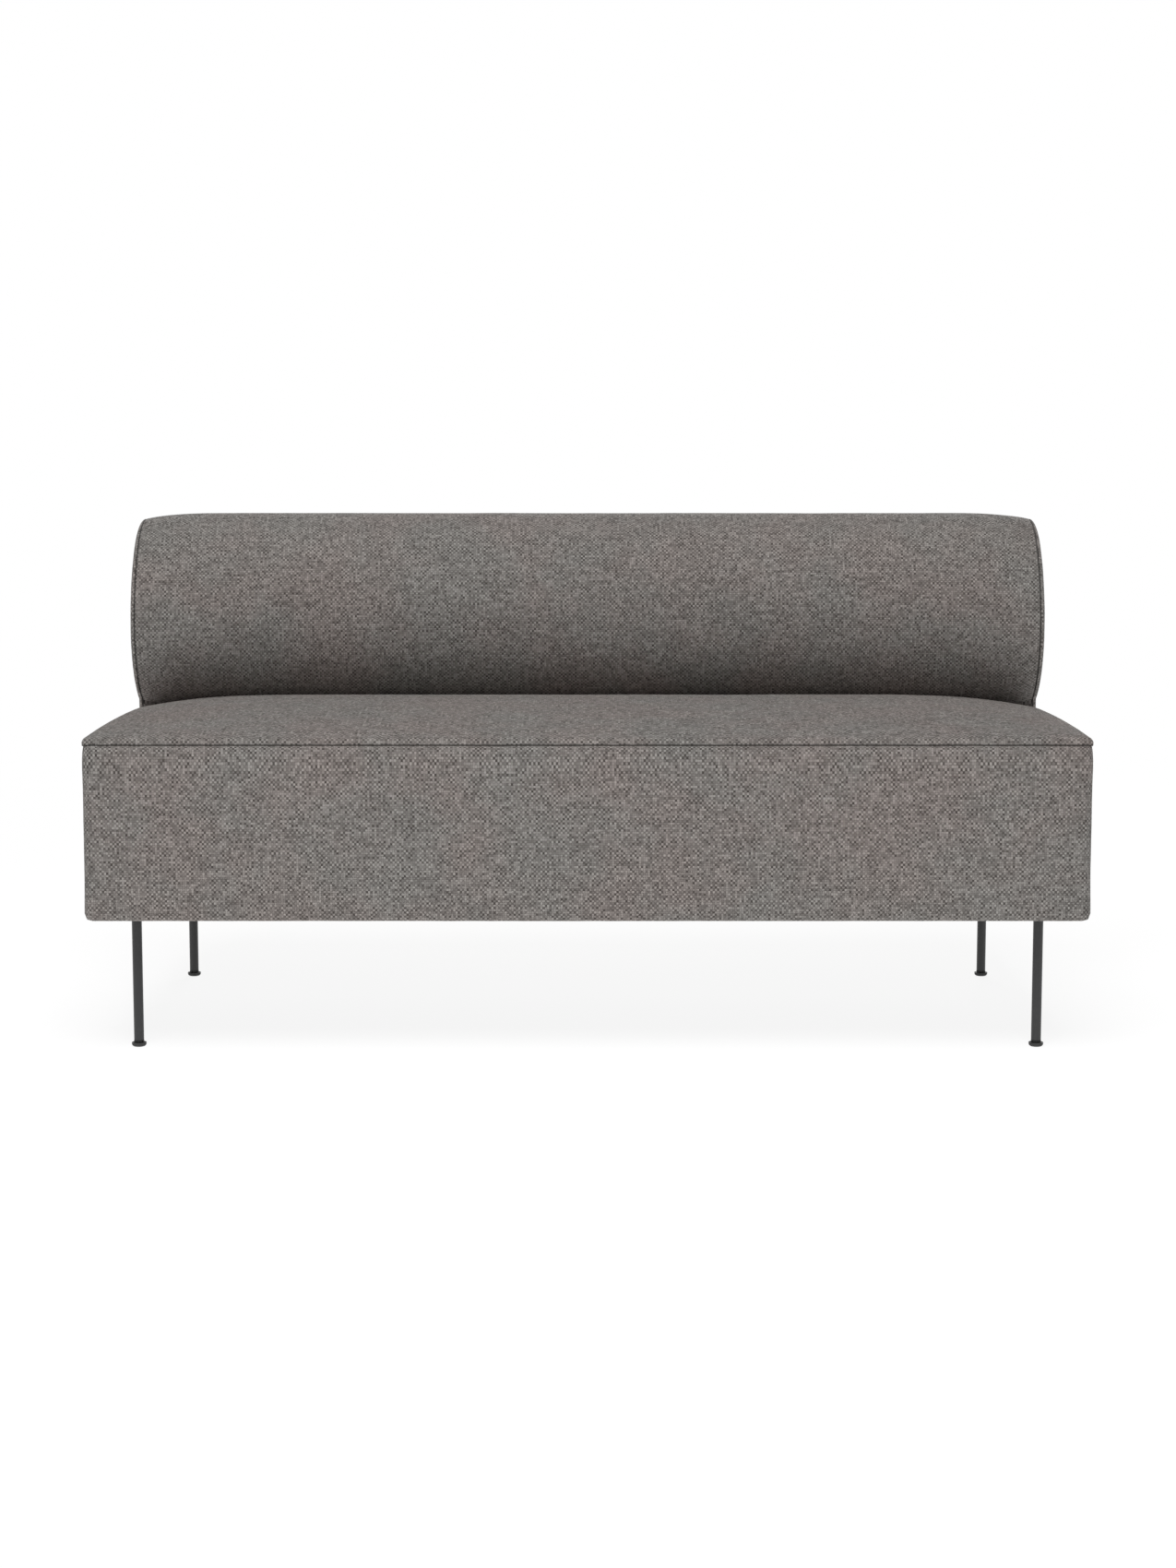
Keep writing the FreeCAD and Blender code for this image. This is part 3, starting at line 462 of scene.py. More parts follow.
def makeScuff():
    # Fine rubbed marks that change gloss and colour a little
    group, start, end = newGroup(
        "scuff", {"Coordinates": (0.0, 0.0, 0.0), "Scale": 60.0}, {"Mask": float, "Streak": float})
    x, y, z = splitVector(start["Coordinates"])
    cloud = noiseAt(start["Coordinates"], start["Scale"], 4, 0.6)
    feed(end["Mask"], remap(cloud, 0.55, 0.75, 0, 1, smooth=True))
    stretched = joinVector(x, y, times(z, 0.08))
    streak = noiseAt(stretched, times(start["Scale"], 14), 2)
    feed(end["Streak"], streak)
    return group


def makePlyLayers():
    # Solid plywood: layers stacked along one axis, their grain turned by turn
    group, start, end = newGroup(
        "ply layers", {"Across": 0.0, "Along": 0.0, "Up": 0.0, "Layer": 0.0014},
        {"Colour": 4, "Height": float})
    layer = compute("FLOOR", compute("DIVIDE", start["Across"], start["Layer"]))
    odd = compute("PINGPONG", layer, 1.0)

    def grain(along, up):
        place = joinVector(times(along, 5), times(up, 130), times(layer, 3.1))
        return noiseAt(place, 1.0, 4, 0.6)

    fibre = blendValue(odd, grain(start["Along"], start["Up"]), grain(start["Up"], start["Along"]))
    colour = blendColour(remap(fibre, 0.3, 0.7, 0, 1), (0.68, 0.52, 0.34, 1), (0.52, 0.36, 0.21, 1))
    colour = blendColour(times(odd, 0.3), colour, (0.42, 0.28, 0.16, 1))
    feed(end["Colour"], colour)
    feed(end["Height"], fibre)
    return group


scuff = makeScuff()
plyLayers = makePlyLayers()


def makePlywood(axis):
    material, tree, shader = newMaterial("birch plywood " + axis)
    parts = dict(zip("XYZ", splitVector(objectPlace(tree))))
    across = parts.pop(axis)
    along, up = parts.values()
    layers = placeGroup(plyLayers, Across=across, Along=along, Up=up)
    give(shader, Base_Color=layers["Colour"],
         Roughness=remap(layers["Height"], 0.2, 0.8, 0.75, 0.55))
    bump(shader, layers["Height"], 0.2 * mm, 0.6)
    return material


def makePaint(name, colour, worn, roughness, metallic, grainScale, grainDepth, wear):
    # Coating or moulded surface: fine grain (depth in mm), cloudy gloss and a few rubbed marks
    material, tree, shader = newMaterial(name)
    place = objectPlace(tree)
    marks = placeGroup(scuff, Coordinates=place, Scale=55.0)
    rubbed = times(marks["Mask"], wear)
    rough = remap(marks["Streak"], 0.3, 0.7, roughness - 0.05, roughness + 0.06)
    give(shader, Base_Color=blendColour(rubbed, (*colour, 1), (*worn, 1)),
         Roughness=plus(rough, times(rubbed, 0.2)), Metallic=metallic)
    bump(shader, noiseAt(place, grainScale, 3, 0.6), grainDepth * mm, 0.6)
    return material


def makeStrapping():
    material, tree, shader = newMaterial("elastic webbing")
    place = objectPlace(tree)
    weave = placeGroup(hopsack, Coordinates=place, Across=1.6, Up=1.3, Waver=0.05)
    colour = blendColour(weave["Tone"], (0.09, 0.088, 0.085, 1), (0.17, 0.165, 0.16, 1))
    # Painted shade in the gaps of the webbing
    colour = blendColour(times(weave["GapShade"], 0.7), colour, (0.03, 0.03, 0.03, 1))
    give(shader, Base_Color=colour, Roughness=0.85)
    bump(shader, weave["Height"], 0.4 * mm, 0.8)
    return material


def makeDustMaterial():
    # Non-woven cloth: matted fibres with a pressed dot pattern
    material, tree, shader = newMaterial("non-woven cloth")
    place = objectPlace(tree)
    x, y, _ = splitVector(place)
    waves = [compute("SINE", times(axis, 2300)) for axis in (x, y)]
    dots = times(*waves)
    pressed = remap(dots, 0.35, 0.7, 0, 1, smooth=True)
    fibre = noiseAt(place, 420, 4, 0.7)
    colour = blendColour(remap(fibre, 0.3, 0.7, 0, 1), (0.014, 0.014, 0.015, 1), (0.035, 0.035, 0.036, 1))
    give(shader, Roughness=remap(pressed, 0, 1, 0.95, 0.7),
         Base_Color=blendColour(times(pressed, 0.6), colour, (0.01, 0.01, 0.01, 1)))
    bump(shader, minus(fibre, times(pressed, 0.6)), 0.25 * mm, 0.7)
    return material


plywood = {axis: makePlywood(axis) for axis in "XYZ"}
legCoating = makePaint(
    "dark grey powder coat", (0.028, 0.028, 0.029), (0.055, 0.055, 0.055), 0.42, 0.0, 900, 0.05, 0.25)
blackZinc = makePaint("black zinc", (0.018, 0.018, 0.018), (0.09, 0.085, 0.08), 0.38, 0.7, 600, 0.02, 0.35)
hardRubber = makePaint("hard rubber", (0.03, 0.03, 0.03), (0.055, 0.053, 0.05), 0.62, 0.0, 700, 0.04, 0.5)
nylon = makePaint("black nylon", (0.015, 0.015, 0.015), (0.03, 0.03, 0.03), 0.5, 0.0, 800, 0.03, 0.3)
zincSteel = makePaint("zinc plated steel", (0.6, 0.6, 0.6), (0.42, 0.41, 0.4), 0.34, 1.0, 500, 0.02, 0.5)
strapping = makeStrapping()
dustCloth = makeDustMaterial()
print("finishes made")


# Panels: a flat cut of cloth, bent over its form and turned in at its seams

panelValues = {
    "rowPitch": 9.5 * mm,
    "seamRound": 2.1 * mm,
    "turnIn": 6 * mm,
    "cloth": 1.6 * mm,
    "unevenness": 0.5 * mm,
    "broadScale": 9, "broadRun": 50 * mm,     # the runs are distances from a seam
    "fineScale": 38, "fineRun": 10 * mm, "fineShare": 0.35,
    # Painted shade along the seams: full up to the first distance from a seam, gone at the second
    "seamShade": (0.9 * mm, 2.6 * mm),
    "merge": 0.002 * mm,
}
simValues = {
    "pitch": 16 * mm,
    "startInset": 1.2 * mm,     # the cloth starts this much under its form
    "easeIn": 70 * mm,          # and meets the form again at its seams
    "pressure": 1.0,
    "stiffness": 60,
    "frames": 20,
    "cap": 2.4 * mm,
}


def gradedSteps(length, pitch, creases=(), turned=(True, True)):
    # Close rows at the seams and at creases, wide ones between
    edge = [part * panelValues["turnIn"] for part in (-1.0, -0.5, 0.0)]
    edge += [part * mm for part in (0.25, 0.6, 1.0, 1.5, 2.2, 3.2, 4.5, 6, 7.5, 9, 11, 14, 19)]
    first, last = edge[-1] if turned[0] else 0.0, length - (edge[-1] if turned[1] else 0.0)
    count = max(1, math.ceil((last - first) / pitch))
    steps = {first + (last - first) * index / count for index in range(count + 1)}
    if turned[0]:
        steps |= set(edge)
    if turned[1]:
        steps |= {length - step for step in edge}
    for crease in creases:
        steps = {step for step in steps
                 if abs(step - crease) > 0.6 * pitch or not first < step < last}
        steps |= {crease + part * mm for part in (-4.5, -2, -0.8, 0, 0.8, 2, 4.5)}
    return sorted(steps)


def clampTo(number, low=0, high=1):
    return max(low, min(high, number))


def smoothStep(share):
    share = clampTo(share)
    return share * share * (3 - 2 * share)


def surfaceNormal(form, a, b, lengthA, lengthB):
    reach = 0.8 * mm
    lowA, highA = clampTo(a - reach, 0, lengthA), clampTo(a + reach, 0, lengthA)
    lowB, highB = clampTo(b - reach, 0, lengthB), clampTo(b + reach, 0, lengthB)
    along = form(highA, b) - form(lowA, b)
    up = form(a, highB) - form(a, lowB)
    return along.cross(up).normalized()


def seamSink(distance):
    # A quarter round at the seam line, then straight in
    radius = panelValues["seamRound"]
    if distance < 0:
        return radius - distance
    if distance < radius:
        return radius - math.sqrt(radius * radius - (radius - distance) ** 2)
    return 0.0


def flatGrid(bm, columns, rows):
    # A flat cut with the given lines; tells where each vertex lies on it
    lastColumn, lastRow = len(columns) - 1, len(rows) - 1
    bmesh.ops.create_grid(bm, x_segments=lastColumn, y_segments=lastRow, size=1)
    return {vertex: (columns[round((vertex.co.x + 1) / 2 * lastColumn)],
                     rows[round((vertex.co.y + 1) / 2 * lastRow)]) for vertex in bm.verts}


def gridMesh(name, columns, rows, placeAt, flatAt, merge=True, shadeAt=None):
    # Each vertex of the flat cut goes to its place on the form
    bm = bmesh.new()
    layer = bm.loops.layers.uv.new("cloth")
    # The seam layer holds the painted shade along the seams
    seam = bm.verts.layers.float.new("seam")
    flat = flatGrid(bm, columns, rows)
    for vertex, (a, b) in flat.items():
        vertex.co = placeAt(a, b)
        vertex[seam] = shadeAt(a, b) if shadeAt else 0.0
    for face in bm.faces:
        for loop in face.loops:
            loop[layer].uv = flatAt(*flat[loop.vert])
    if merge:
        bmesh.ops.remove_doubles(bm, verts=bm.verts, dist=panelValues["merge"])
    return meshFrom(name, bm, smooth=True)


def swellOf(name, form, lengthA, lengthB, lowest):
    # Blows the cloth up from just under its form, held at its seams; gives the offset anywhere on it
    countA = math.ceil(lengthA / simValues["pitch"])
    countB = math.ceil((lengthB - lowest) / simValues["pitch"])
    columns = [lengthA * index / countA for index in range(countA + 1)]
    rows = [lowest + (lengthB - lowest) * index / countB for index in range(countB + 1)]
    spots = [(a, b) for b in rows for a in columns]
    normals = [surfaceNormal(form, a, b, lengthA, lengthB) for a, b in spots]
    fromSeam = [min(a, lengthA - a, b - lowest, lengthB - b) for a, b in spots]
    under = [simValues["startInset"] * smoothStep(distance / simValues["easeIn"]) for distance in fromSeam]
    moves = list(under)
    mesh = gridMesh(name + "_sim", columns, rows, form, lambda a, b: (a, b), merge=False)
    for vertex, normal, depth in zip(mesh.vertices, normals, under):
        vertex.co -= normal * depth
    start = [vertex.co.copy() for vertex in mesh.vertices]
    cloth = linkPiece(name + "_sim", mesh)
    held = cloth.vertex_groups.new(name="held")
    held.add([index for index, distance in enumerate(fromSeam) if distance < 1e-6], 1.0, "REPLACE")
    modifier = cloth.modifiers.new("Cloth", "CLOTH")
    settings = modifier.settings
    settings.quality = 5
    settings.tension_stiffness = simValues["stiffness"]
    settings.compression_stiffness = simValues["stiffness"]
    settings.shear_stiffness = simValues["stiffness"] / 3
    settings.bending_stiffness = 1
    settings.vertex_group_mass = "held"
    settings.use_pressure = True
    settings.uniform_pressure_force = simValues["pressure"]
    settings.effector_weights.gravity = 0
    modifier.collision_settings.use_collision = False
    for number in range(1, simValues["frames"] + 1):
        scene.frame_set(number)
    done = cloth.evaluated_get(bpy.context.evaluated_depsgraph_get())
    moves = [(vertex.co - first).dot(normal)
             for vertex, first, normal in zip(done.data.vertices, start, normals)]
    scene.frame_set(1)
    bpy.data.objects.remove(cloth)
    bpy.data.meshes.remove(mesh)
    # The foam keeps the cloth from going in, and the cap from standing off
    cap = simValues["cap"]
    offsets = [cap * math.tanh(max(0.0, move) / cap) - depth for move, depth in zip(moves, under)]
    ordered = sorted(offsets)
    print(f"{name} swell: {ordered[0] / mm:.2f} to {ordered[-1] / mm:.2f} mm, "
          f"middle {ordered[len(ordered) // 2] / mm:.2f} mm")

    def offsetAt(a, b):
        column = clampTo(a / lengthA * countA, 0, countA - 1e-6)
        row = clampTo((b - lowest) / (lengthB - lowest) * countB, 0, countB - 1e-6)
        corner = int(row) * (countA + 1) + int(column)
        shareA, shareB = column % 1, row % 1
        low = offsets[corner] * (1 - shareA) + offsets[corner + 1] * shareA
        corner += countA + 1
        high = offsets[corner] * (1 - shareA) + offsets[corner + 1] * shareA
        return low * (1 - shareB) + high * shareB

    return offsetAt


def makePanel(name, form, lengthA, lengthB, seams=("left", "right", "low", "high"), creases=(),
              blown=True, lowest=0.0, ridge=None, flatAt=None, pitch=panelValues["rowPitch"], cut=None):
    # creases are distances up the panel; a side that isn't a seam stays where its form ends
    v = panelValues
    held = [side in seams for side in ("left", "right", "low", "high")]
    offsetAt = swellOf(name, form, lengthA, lengthB, lowest) if blown else None
    columns = gradedSteps(lengthA, pitch, (), held[:2])
    rows = gradedSteps(lengthB, pitch, creases, held[2:])

    def seamDistance(a, b):
        reach = (a, lengthA - a, b, lengthB - b)
        return min(distance for distance, isSeam in zip(reach, held) if isSeam)

    def placeAt(a, b):
        insideA, insideB = clampTo(a, 0, lengthA), clampTo(b, 0, lengthB)
        place = form(insideA, insideB)
        normal = surfaceNormal(form, insideA, insideB, lengthA, lengthB)
        distance = seamDistance(a, b)
        # Broad unevenness, and a finer one that starts nearer to the seams
        lift = v["unevenness"] * clampTo(distance / v["broadRun"]) * noise.noise(place * v["broadScale"])
        lift += v["fineShare"] * v["unevenness"] * clampTo(distance / v["fineRun"]) * noise.noise(
            place * v["fineScale"])
        for more in (ridge, offsetAt):
            if more is not None:
                lift += more(insideA, insideB)
        return place + normal * (lift - seamSink(distance))

    # Painted shade along the seams, kept as a vertex value that darkens the cloth's colour
    def shadeAt(a, b):
        first, last = v["seamShade"]   # full up to the first distance, gone at the last
        return clampTo((last - seamDistance(a, b)) / (last - first))

    mesh = gridMesh(name, columns, rows, placeAt, flatAt or (lambda a, b: (a, b)), shadeAt=shadeAt)
    piece = sofaPiece(name, mesh, coverCloth, v["cloth"], -1)
    if cut is None:
        cut = (lengthA + v["turnIn"] * sum(held[:2]), lengthB + v["turnIn"] * sum(held[2:]))
    print(f"{name} cut: {cut[0]:.3f} x {cut[1]:.3f} m, {cut[0] * cut[1]:.3f} m2, mesh "
          f"{sum(face.area for face in mesh.polygons):.3f} m2")
    return piece


# Profiles: runs of lines and arcs in a plane, met by one position along them

def arcBetween(start, end, rise):
    # Centre, radius, first angle and turn of the arc that stands `rise` off its chord, left of it
    chord = end - start
    half = chord.length / 2
    radius = (half * half + rise * rise) / (2 * rise)
    side = Vector((-chord.y, chord.x)).normalized()
    centre = (start + end) / 2 + side * (rise - radius)
    first = math.atan2(start.y - centre.y, start.x - centre.x)
    last = math.atan2(end.y - centre.y, end.x - centre.x)
    turn = (last - first + math.pi) % (2 * math.pi) - math.pi
    return centre, abs(radius), first, turn


def turnRun(centre, radius, first, turn):
    def at(share):
        angle = first + turn * share
        return Vector((centre[0] + radius * math.cos(angle), centre[1] + radius * math.sin(angle)))
    return at, radius * abs(turn)


def lineRun(start, end):
    start, end = Vector(start), Vector(end)
    return (lambda share: start.lerp(end, share)), (end - start).length


def bowRun(start, end, rise):
    return turnRun(*arcBetween(Vector(start), Vector(end), rise))


class Profile:
    def __init__(self, runs):
        self.runs = [at for at, _ in runs]
        self.lengths = [length for _, length in runs]
        self.ends = list(itertools.accumulate(self.lengths))
        self.length = self.ends[-1]

    def split(self, distance):
        # Which run a distance falls in, and how far along it
        index = min(bisect.bisect_left(self.ends, distance), len(self.runs) - 1)
        start = self.ends[index] - self.lengths[index]
        return index, clampTo((distance - start) / self.lengths[index])

    def at(self, distance):
        index, share = self.split(distance)
        return self.runs[index](share)


# Seat top

seatValues = {
    "seamX": 745.5, "seamY": -345.5, "seamZ": 466, "neckY": 162,
    "lip": 12, "lipSetback": 8, "lipBulge": 3.9,
    "endLipX": 740, "endLip": 12.6, "endLipBulge": 4.4,
    "endRise": 13, "middleRise": 38, "fullRise": 37, "bow": 9, "slopeRun": 450,
    "middle": 1.04, "endPower": 8,      # flat across the middle, falling off near the ends
    "dipDepth": 50, "tuckRise": 4, "tuckBow": 3.5,
    "ridgeHeight": 0.55, "ridgeWidth": 9, "ridgeEdge": 3, "ridgeStart": 2,
    "ridgeWobble": 0.8, "wobbleScale": 11,
}


def seatProfile(rise):
    v = seatValues
    fullness = rise / v["fullRise"]
    foot = (v["seamY"], 0)
    lip = (v["seamY"] + v["lipSetback"], v["lip"])
    dip = (v["neckY"] - v["dipDepth"], rise)
    back = (v["neckY"], v["tuckRise"])
    slope = math.atan2(rise - v["lip"], v["slopeRun"])
    return Profile([
        bowRun(foot, lip, v["lipBulge"]),
        bowRun(lip, dip, v["bow"] * fullness * math.cos(slope)),
        bowRun(dip, back, v["tuckBow"] * fullness)])


seatMiddle = seatProfile(seatValues["middleRise"])
seatEnd = seatProfile(seatValues["endRise"])
lipRight = Vector((seatValues["endLipX"], seatValues["endLip"]))
lipLeft = Vector((-lipRight.x, lipRight.y))
endLip = Profile([
    bowRun((-seatValues["seamX"], 0), lipLeft, seatValues["endLipBulge"]),
    lineRun(lipLeft, lipRight),
    bowRun(lipRight, (seatValues["seamX"], 0), seatValues["endLipBulge"])])


def seatForm(a, b):
    v = seatValues
    across = endLip.at(a / mm)
    run, share = seatMiddle.split(b / mm)
    full = v["middle"] - min(1.0, abs(across.x) / v["seamX"]) ** v["endPower"]
    low, high = seatEnd.runs[run](share), seatMiddle.runs[run](share)
    side = low.lerp(high, clampTo(full))
    lift = clampTo(across.y / v["endLip"])
    # Towards a corner each lip's overhang fades into the other's seam line
    x, y = across.x, side.x
    front = clampTo(side.y / v["lip"])
    if abs(x) > v["seamX"]:
        x = math.copysign(v["seamX"] + (abs(x) - v["seamX"]) * front, x)
    if y < v["seamY"]:
        y = v["seamY"] + (y - v["seamY"]) * lift
    return Vector((x, y, v["seamZ"] + side.y * lift)) * mm


def seatRidge(a, b):
    # The seam allowance under the cloth shows as a low step along the front and the ends
    v = seatValues
    distance = min(a, endLip.length * mm - a, b) / mm
    wobble = v["ridgeWobble"] * noise.noise(Vector((a * v["wobbleScale"], b * v["wobbleScale"], 3.1)))
    step = smoothStep((v["ridgeWidth"] + wobble - distance) / v["ridgeEdge"])
    return v["ridgeHeight"] * mm * step * clampTo(distance / v["ridgeStart"])


seatTop = makePanel(
    "seat_top_panel", seatForm, endLip.length * mm, seatMiddle.length * mm,
    creases=(seatMiddle.ends[1] * mm,), ridge=seatRidge)
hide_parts("seat_cover_top")
print("seat top made")


# Base band and rear panel

bandValues = {
    "reachX": 750, "reachY": 350, "corner": 14, "edge": 10, "bottom": 202, "seamZ": 466,
    "draw": 4.5, "drawHeight": 40, "drawTurn": 80, "drawLonger": 1.012, "hem": 30, "rearSeam": 336,
}


def drawnRun():
    # Elliptic pull of the panel towards the seam at its top
    v = bandValues
    last = math.radians(v["drawTurn"])

    def at(share):
        angle = last * share
        return Vector((
            v["draw"] * (1 - math.cos(angle)) / (1 - math.cos(last)),
            v["seamZ"] - v["drawHeight"] * (1 - math.sin(angle) / math.sin(last))))
    return at, v["drawHeight"] * v["drawLonger"]


bandEdge, bandBottom = bandValues["edge"], bandValues["bottom"]
bandProfile = Profile([
    lineRun((bandEdge + bandValues["hem"], bandBottom), (bandEdge, bandBottom)),
    turnRun((bandEdge, bandBottom + bandEdge), bandEdge, -math.pi / 2, -math.pi / 2),
    lineRun((0, bandBottom + bandEdge), (0, bandValues["seamZ"] - bandValues["drawHeight"])),
    drawnRun()])


def bandLength(side):
    v = bandValues
    return 2 * side + math.pi * v["corner"] + 2 * (v["reachX"] - v["corner"])


def bandForm(side, turned):
    # Round the base from one side over the front to the other; turned half round for the rear
    v = bandValues
    quarter = math.pi / 2 * v["corner"]
    front = v["reachX"] - v["corner"]

    def form(a, b):
        drawn, height = bandProfile.at(b / mm)
        radius = max(v["corner"] - drawn, 0.5)
        centreX = v["reachX"] - drawn - radius
        centreY = v["reachY"] - drawn - radius
        away = a / mm - side - quarter - front    # from the middle of the front
        sign = math.copysign(1, away)
        away = abs(away)
        if away < front:
            x, y = min(away, centreX), -(v["reachY"] - drawn)
        elif away < front + quarter:
            angle = (away - front) / v["corner"]
            x, y = centreX + radius * math.sin(angle), -centreY - radius * math.cos(angle)
        else:
            x = v["reachX"] - drawn
            y = clampTo(away - front - quarter - (v["reachY"] - v["corner"]), -centreY, v["reachY"])
        x *= sign
        if turned:
            x, y = -x, -y
        return Vector((x, y, height)) * mm
    return form


sideLength = bandValues["rearSeam"] + bandValues["reachY"] - bandValues["corner"]
seatBand = makePanel(
    "seat_border_panel", bandForm(sideLength, False), bandLength(sideLength) * mm, bandProfile.length * mm,
    lowest=bandProfile.ends[1] * mm, flatAt=lambda a, b: (a + 0.31, b + 0.17))
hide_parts("seat_cover_border")
seatRear = makePanel(
    "seat_rear_panel", bandForm(0, True), bandLength(0) * mm, bandProfile.length * mm,
    lowest=bandProfile.ends[1] * mm, flatAt=lambda a, b: (a + 0.07, b + 0.43))
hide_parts("seat_cover_rear")
print("base panels made")


# Back: wrap and end panels

backValues = {
    "seamX": 741.4, "seamZ": 466, "neckY": 162, "rearY": 350,
    "lowerY": 227, "lowerZ": 609, "lowerRadius": 135,
    "upperY": 235, "upperZ": 674, "upperRadius": 115,
    "swell": 11, "swellRun": 140,
    "dome": 8.4, "domeRun": 17,
}
endValues = {
    "rimLength": 20.5, "flatLength": 79, "spineY": 252, "spineTop": 632, "past": 0.15, "pitch": 7 * mm,
}


def backProfile(swell):
    # Neck, full lower front, an arc up to the shoulder, round top and flat rear
    v = backValues
    lower = Vector((v["lowerY"], v["lowerZ"]))
    lowerRadius = v["lowerRadius"] + swell
    upper = Vector((v["upperY"] - swell, v["upperZ"]))
    upperRadius = v["upperRadius"] + swell
    pinchTurn = math.acos((lower.x - v["neckY"]) / lowerRadius)
    pinch = lower + lowerRadius * Vector((-math.cos(pinchTurn), -math.sin(pinchTurn)))
    belly = lower - Vector((lowerRadius, 0))
    shoulder = upper + upperRadius * Vector((-math.cos(math.pi / 4), math.sin(math.pi / 4)))
    climb = shoulder - belly
    frontRadius = climb.length_squared / (2 * climb.x)
    frontTurn = math.asin(climb.y / frontRadius)
    return Profile([
        lineRun((v["neckY"], v["seamZ"]), pinch),
        turnRun(lower, lowerRadius, math.pi + pinchTurn, -pinchTurn),
        turnRun(belly + Vector((frontRadius, 0)), frontRadius, math.pi, -frontTurn),
        turnRun(upper, upperRadius, 0.75 * math.pi, -0.75 * math.pi),
        lineRun((v["rearY"], v["upperZ"]), (v["rearY"], v["seamZ"]))])


backMiddle = backProfile(backValues["swell"])
backEnd = backProfile(0)


def backForm(a, b):
    v = backValues
    x = a / mm - v["seamX"]
    share = clampTo((v["seamX"] - abs(x)) / v["swellRun"])
    fullness = 1 - (1 - share) ** 3
    run, part = backMiddle.split(b / mm)
    side = backEnd.runs[run](part).lerp(backMiddle.runs[run](part), fullness)
    return Vector((x, side.x, side.y)) * mm


backWrap = makePanel(
    "back_wrap_panel", backForm, 2 * backValues["seamX"] * mm, backMiddle.length * mm,
    creases=(backMiddle.ends[0] * mm,), flatAt=lambda a, b: (a, b + 0.6))
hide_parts("back_cover_wrap")
print("back wrap made")


def endForm(sign):
    # From the end seam over the domed rim, then flat to a spine up the middle of the end
    v, e = backValues, endValues

    def form(a, b):
        a, b = a / mm, b / mm
        if sign > 0:
            a = backEnd.length - a
        rim = backEnd.at(a)
        spine = Vector((e["spineY"], clampTo(rim.y, v["seamZ"], e["spineTop"])))
        angle = min(b / e["rimLength"], 1) * math.pi / 2
        place = rim + (spine - rim).normalized() * v["domeRun"] * (1 - math.cos(angle))
        if b > e["rimLength"]:
            place = place.lerp(spine, (b - e["rimLength"]) / e["flatLength"])
        return Vector((sign * (v["seamX"] + e["past"] + v["dome"] * math.sin(angle)), *place)) * mm
    return form


# The end is cut as a D with a turned-in edge all round
outline = [backEnd.at(backEnd.length * step / 240) for step in range(241)]
endArea = abs(sum(here.x * there.y - there.x * here.y
                  for here, there in zip(outline, outline[1:] + outline[:1]))) / 2 * mm * mm
endArea += panelValues["turnIn"] * backEnd.length * mm
endCut = tuple(max(spot[axis] for spot in outline) * mm - min(spot[axis] for spot in outline) * mm
               + panelValues["turnIn"] * (2, 1)[axis] for axis in (0, 1))
for side, sign in (("left", -1), ("right", 1)):
    form = endForm(sign)
    endPanel = makePanel(
        f"back_{side}_end_panel", form, backEnd.length * mm,
        (endValues["rimLength"] + endValues["flatLength"]) * mm,
        seams=("left", "right", "low"), blown=False, pitch=endValues["pitch"], cut=endCut,
        flatAt=lambda a, b, form=form, sign=sign: (sign * form(a, max(b, 0)).y, form(a, max(b, 0)).z))
    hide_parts(f"back_cover_{side}_end")
print("back end panels made")


# Foam pads under the cloth: the outer face follows the cover, the inner one lies on the frame

foamValues = {
    "pitch": 22 * mm, "under": 3.4 * mm, "edge": 8 * mm, "crease": 4 * mm, "fill": 0.85,
    "grain": 0.25 * mm, "grainScale": 60, "merge": 0.05 * mm, "blockGap": 0.4 * mm, "blockEdge": 6 * mm,
}
coreValues = {
    "reachX": 735, "reachY": 335, "low": 203.8, "high": 465.8, "top": 466.2,
    "backLow": (-728.2, 175.8, 466.1), "backHigh": (728.2, 338.2, 690.2),
}


def finishFoam(name, bm, nodes):
    piece = sofaPiece(name, meshFrom(name, bm, smooth=True), foam)
    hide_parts(*nodes)
    return piece


def padSteps(first, last, creases=()):
    count = max(4, math.ceil((last - first) / foamValues["pitch"]))
    steps = {first + (last - first) * index / count for index in range(count + 1)}
    near = foamValues["crease"]
    for crease in creases:
        steps = {step for step in steps if abs(step - crease) > 2 * near or step in (first, last)}
        steps |= {crease - near, crease, crease + near}
    return sorted(steps)


def makeFoam(name, form, spanA, spanB, low, high, nodes, roundSides="left right low high", creases=()):
    firstA, lastA = (edge * mm for edge in spanA)
    firstB, lastB = (edge * mm for edge in spanB)
    bm = bmesh.new()
    radius = foamValues["edge"]
    flat = flatGrid(bm, padSteps(firstA, lastA), padSteps(firstB, lastB, creases))
    for vertex, (a, b) in flat.items():
        reach = {"left": a - firstA, "right": lastA - a, "low": b - firstB, "high": lastB - b}
        near = max(0.0, min([reach[side] for side in roundSides.split()] + [radius]))
        sink = foamValues["under"] + radius - math.sqrt(radius * radius - (radius - near) ** 2)
        inside = clampTo(a, firstA + 3 * mm, lastA - 3 * mm)
        normal = surfaceNormal(form, inside, b, lastA, lastB)
        vertex.co = form(a, b) - normal * sink
        vertex.co += normal * foamValues["grain"] * noise.noise(
            vertex.co * foamValues["grainScale"])
    bmesh.ops.remove_doubles(bm, verts=bm.verts, dist=foamValues["merge"])
    outer = list(bm.faces)
    made = bmesh.ops.extrude_face_region(bm, geom=outer, use_keep_orig=True)["geom"]
    for part in made:
        if isinstance(part, bmesh.types.BMVert):
            part.co = Vector([clampTo(place, lowest * mm, highest * mm)
                              for place, lowest, highest in zip(part.co, low, high)])
    bmesh.ops.reverse_faces(bm, faces=[part for part in made if isinstance(part, bmesh.types.BMFace)])
    bmesh.ops.dissolve_degenerate(bm, edges=bm.edges, dist=0.01 * mm)
    bmesh.ops.recalc_face_normals(bm, faces=bm.faces)
    return finishFoam(name, bm, nodes)


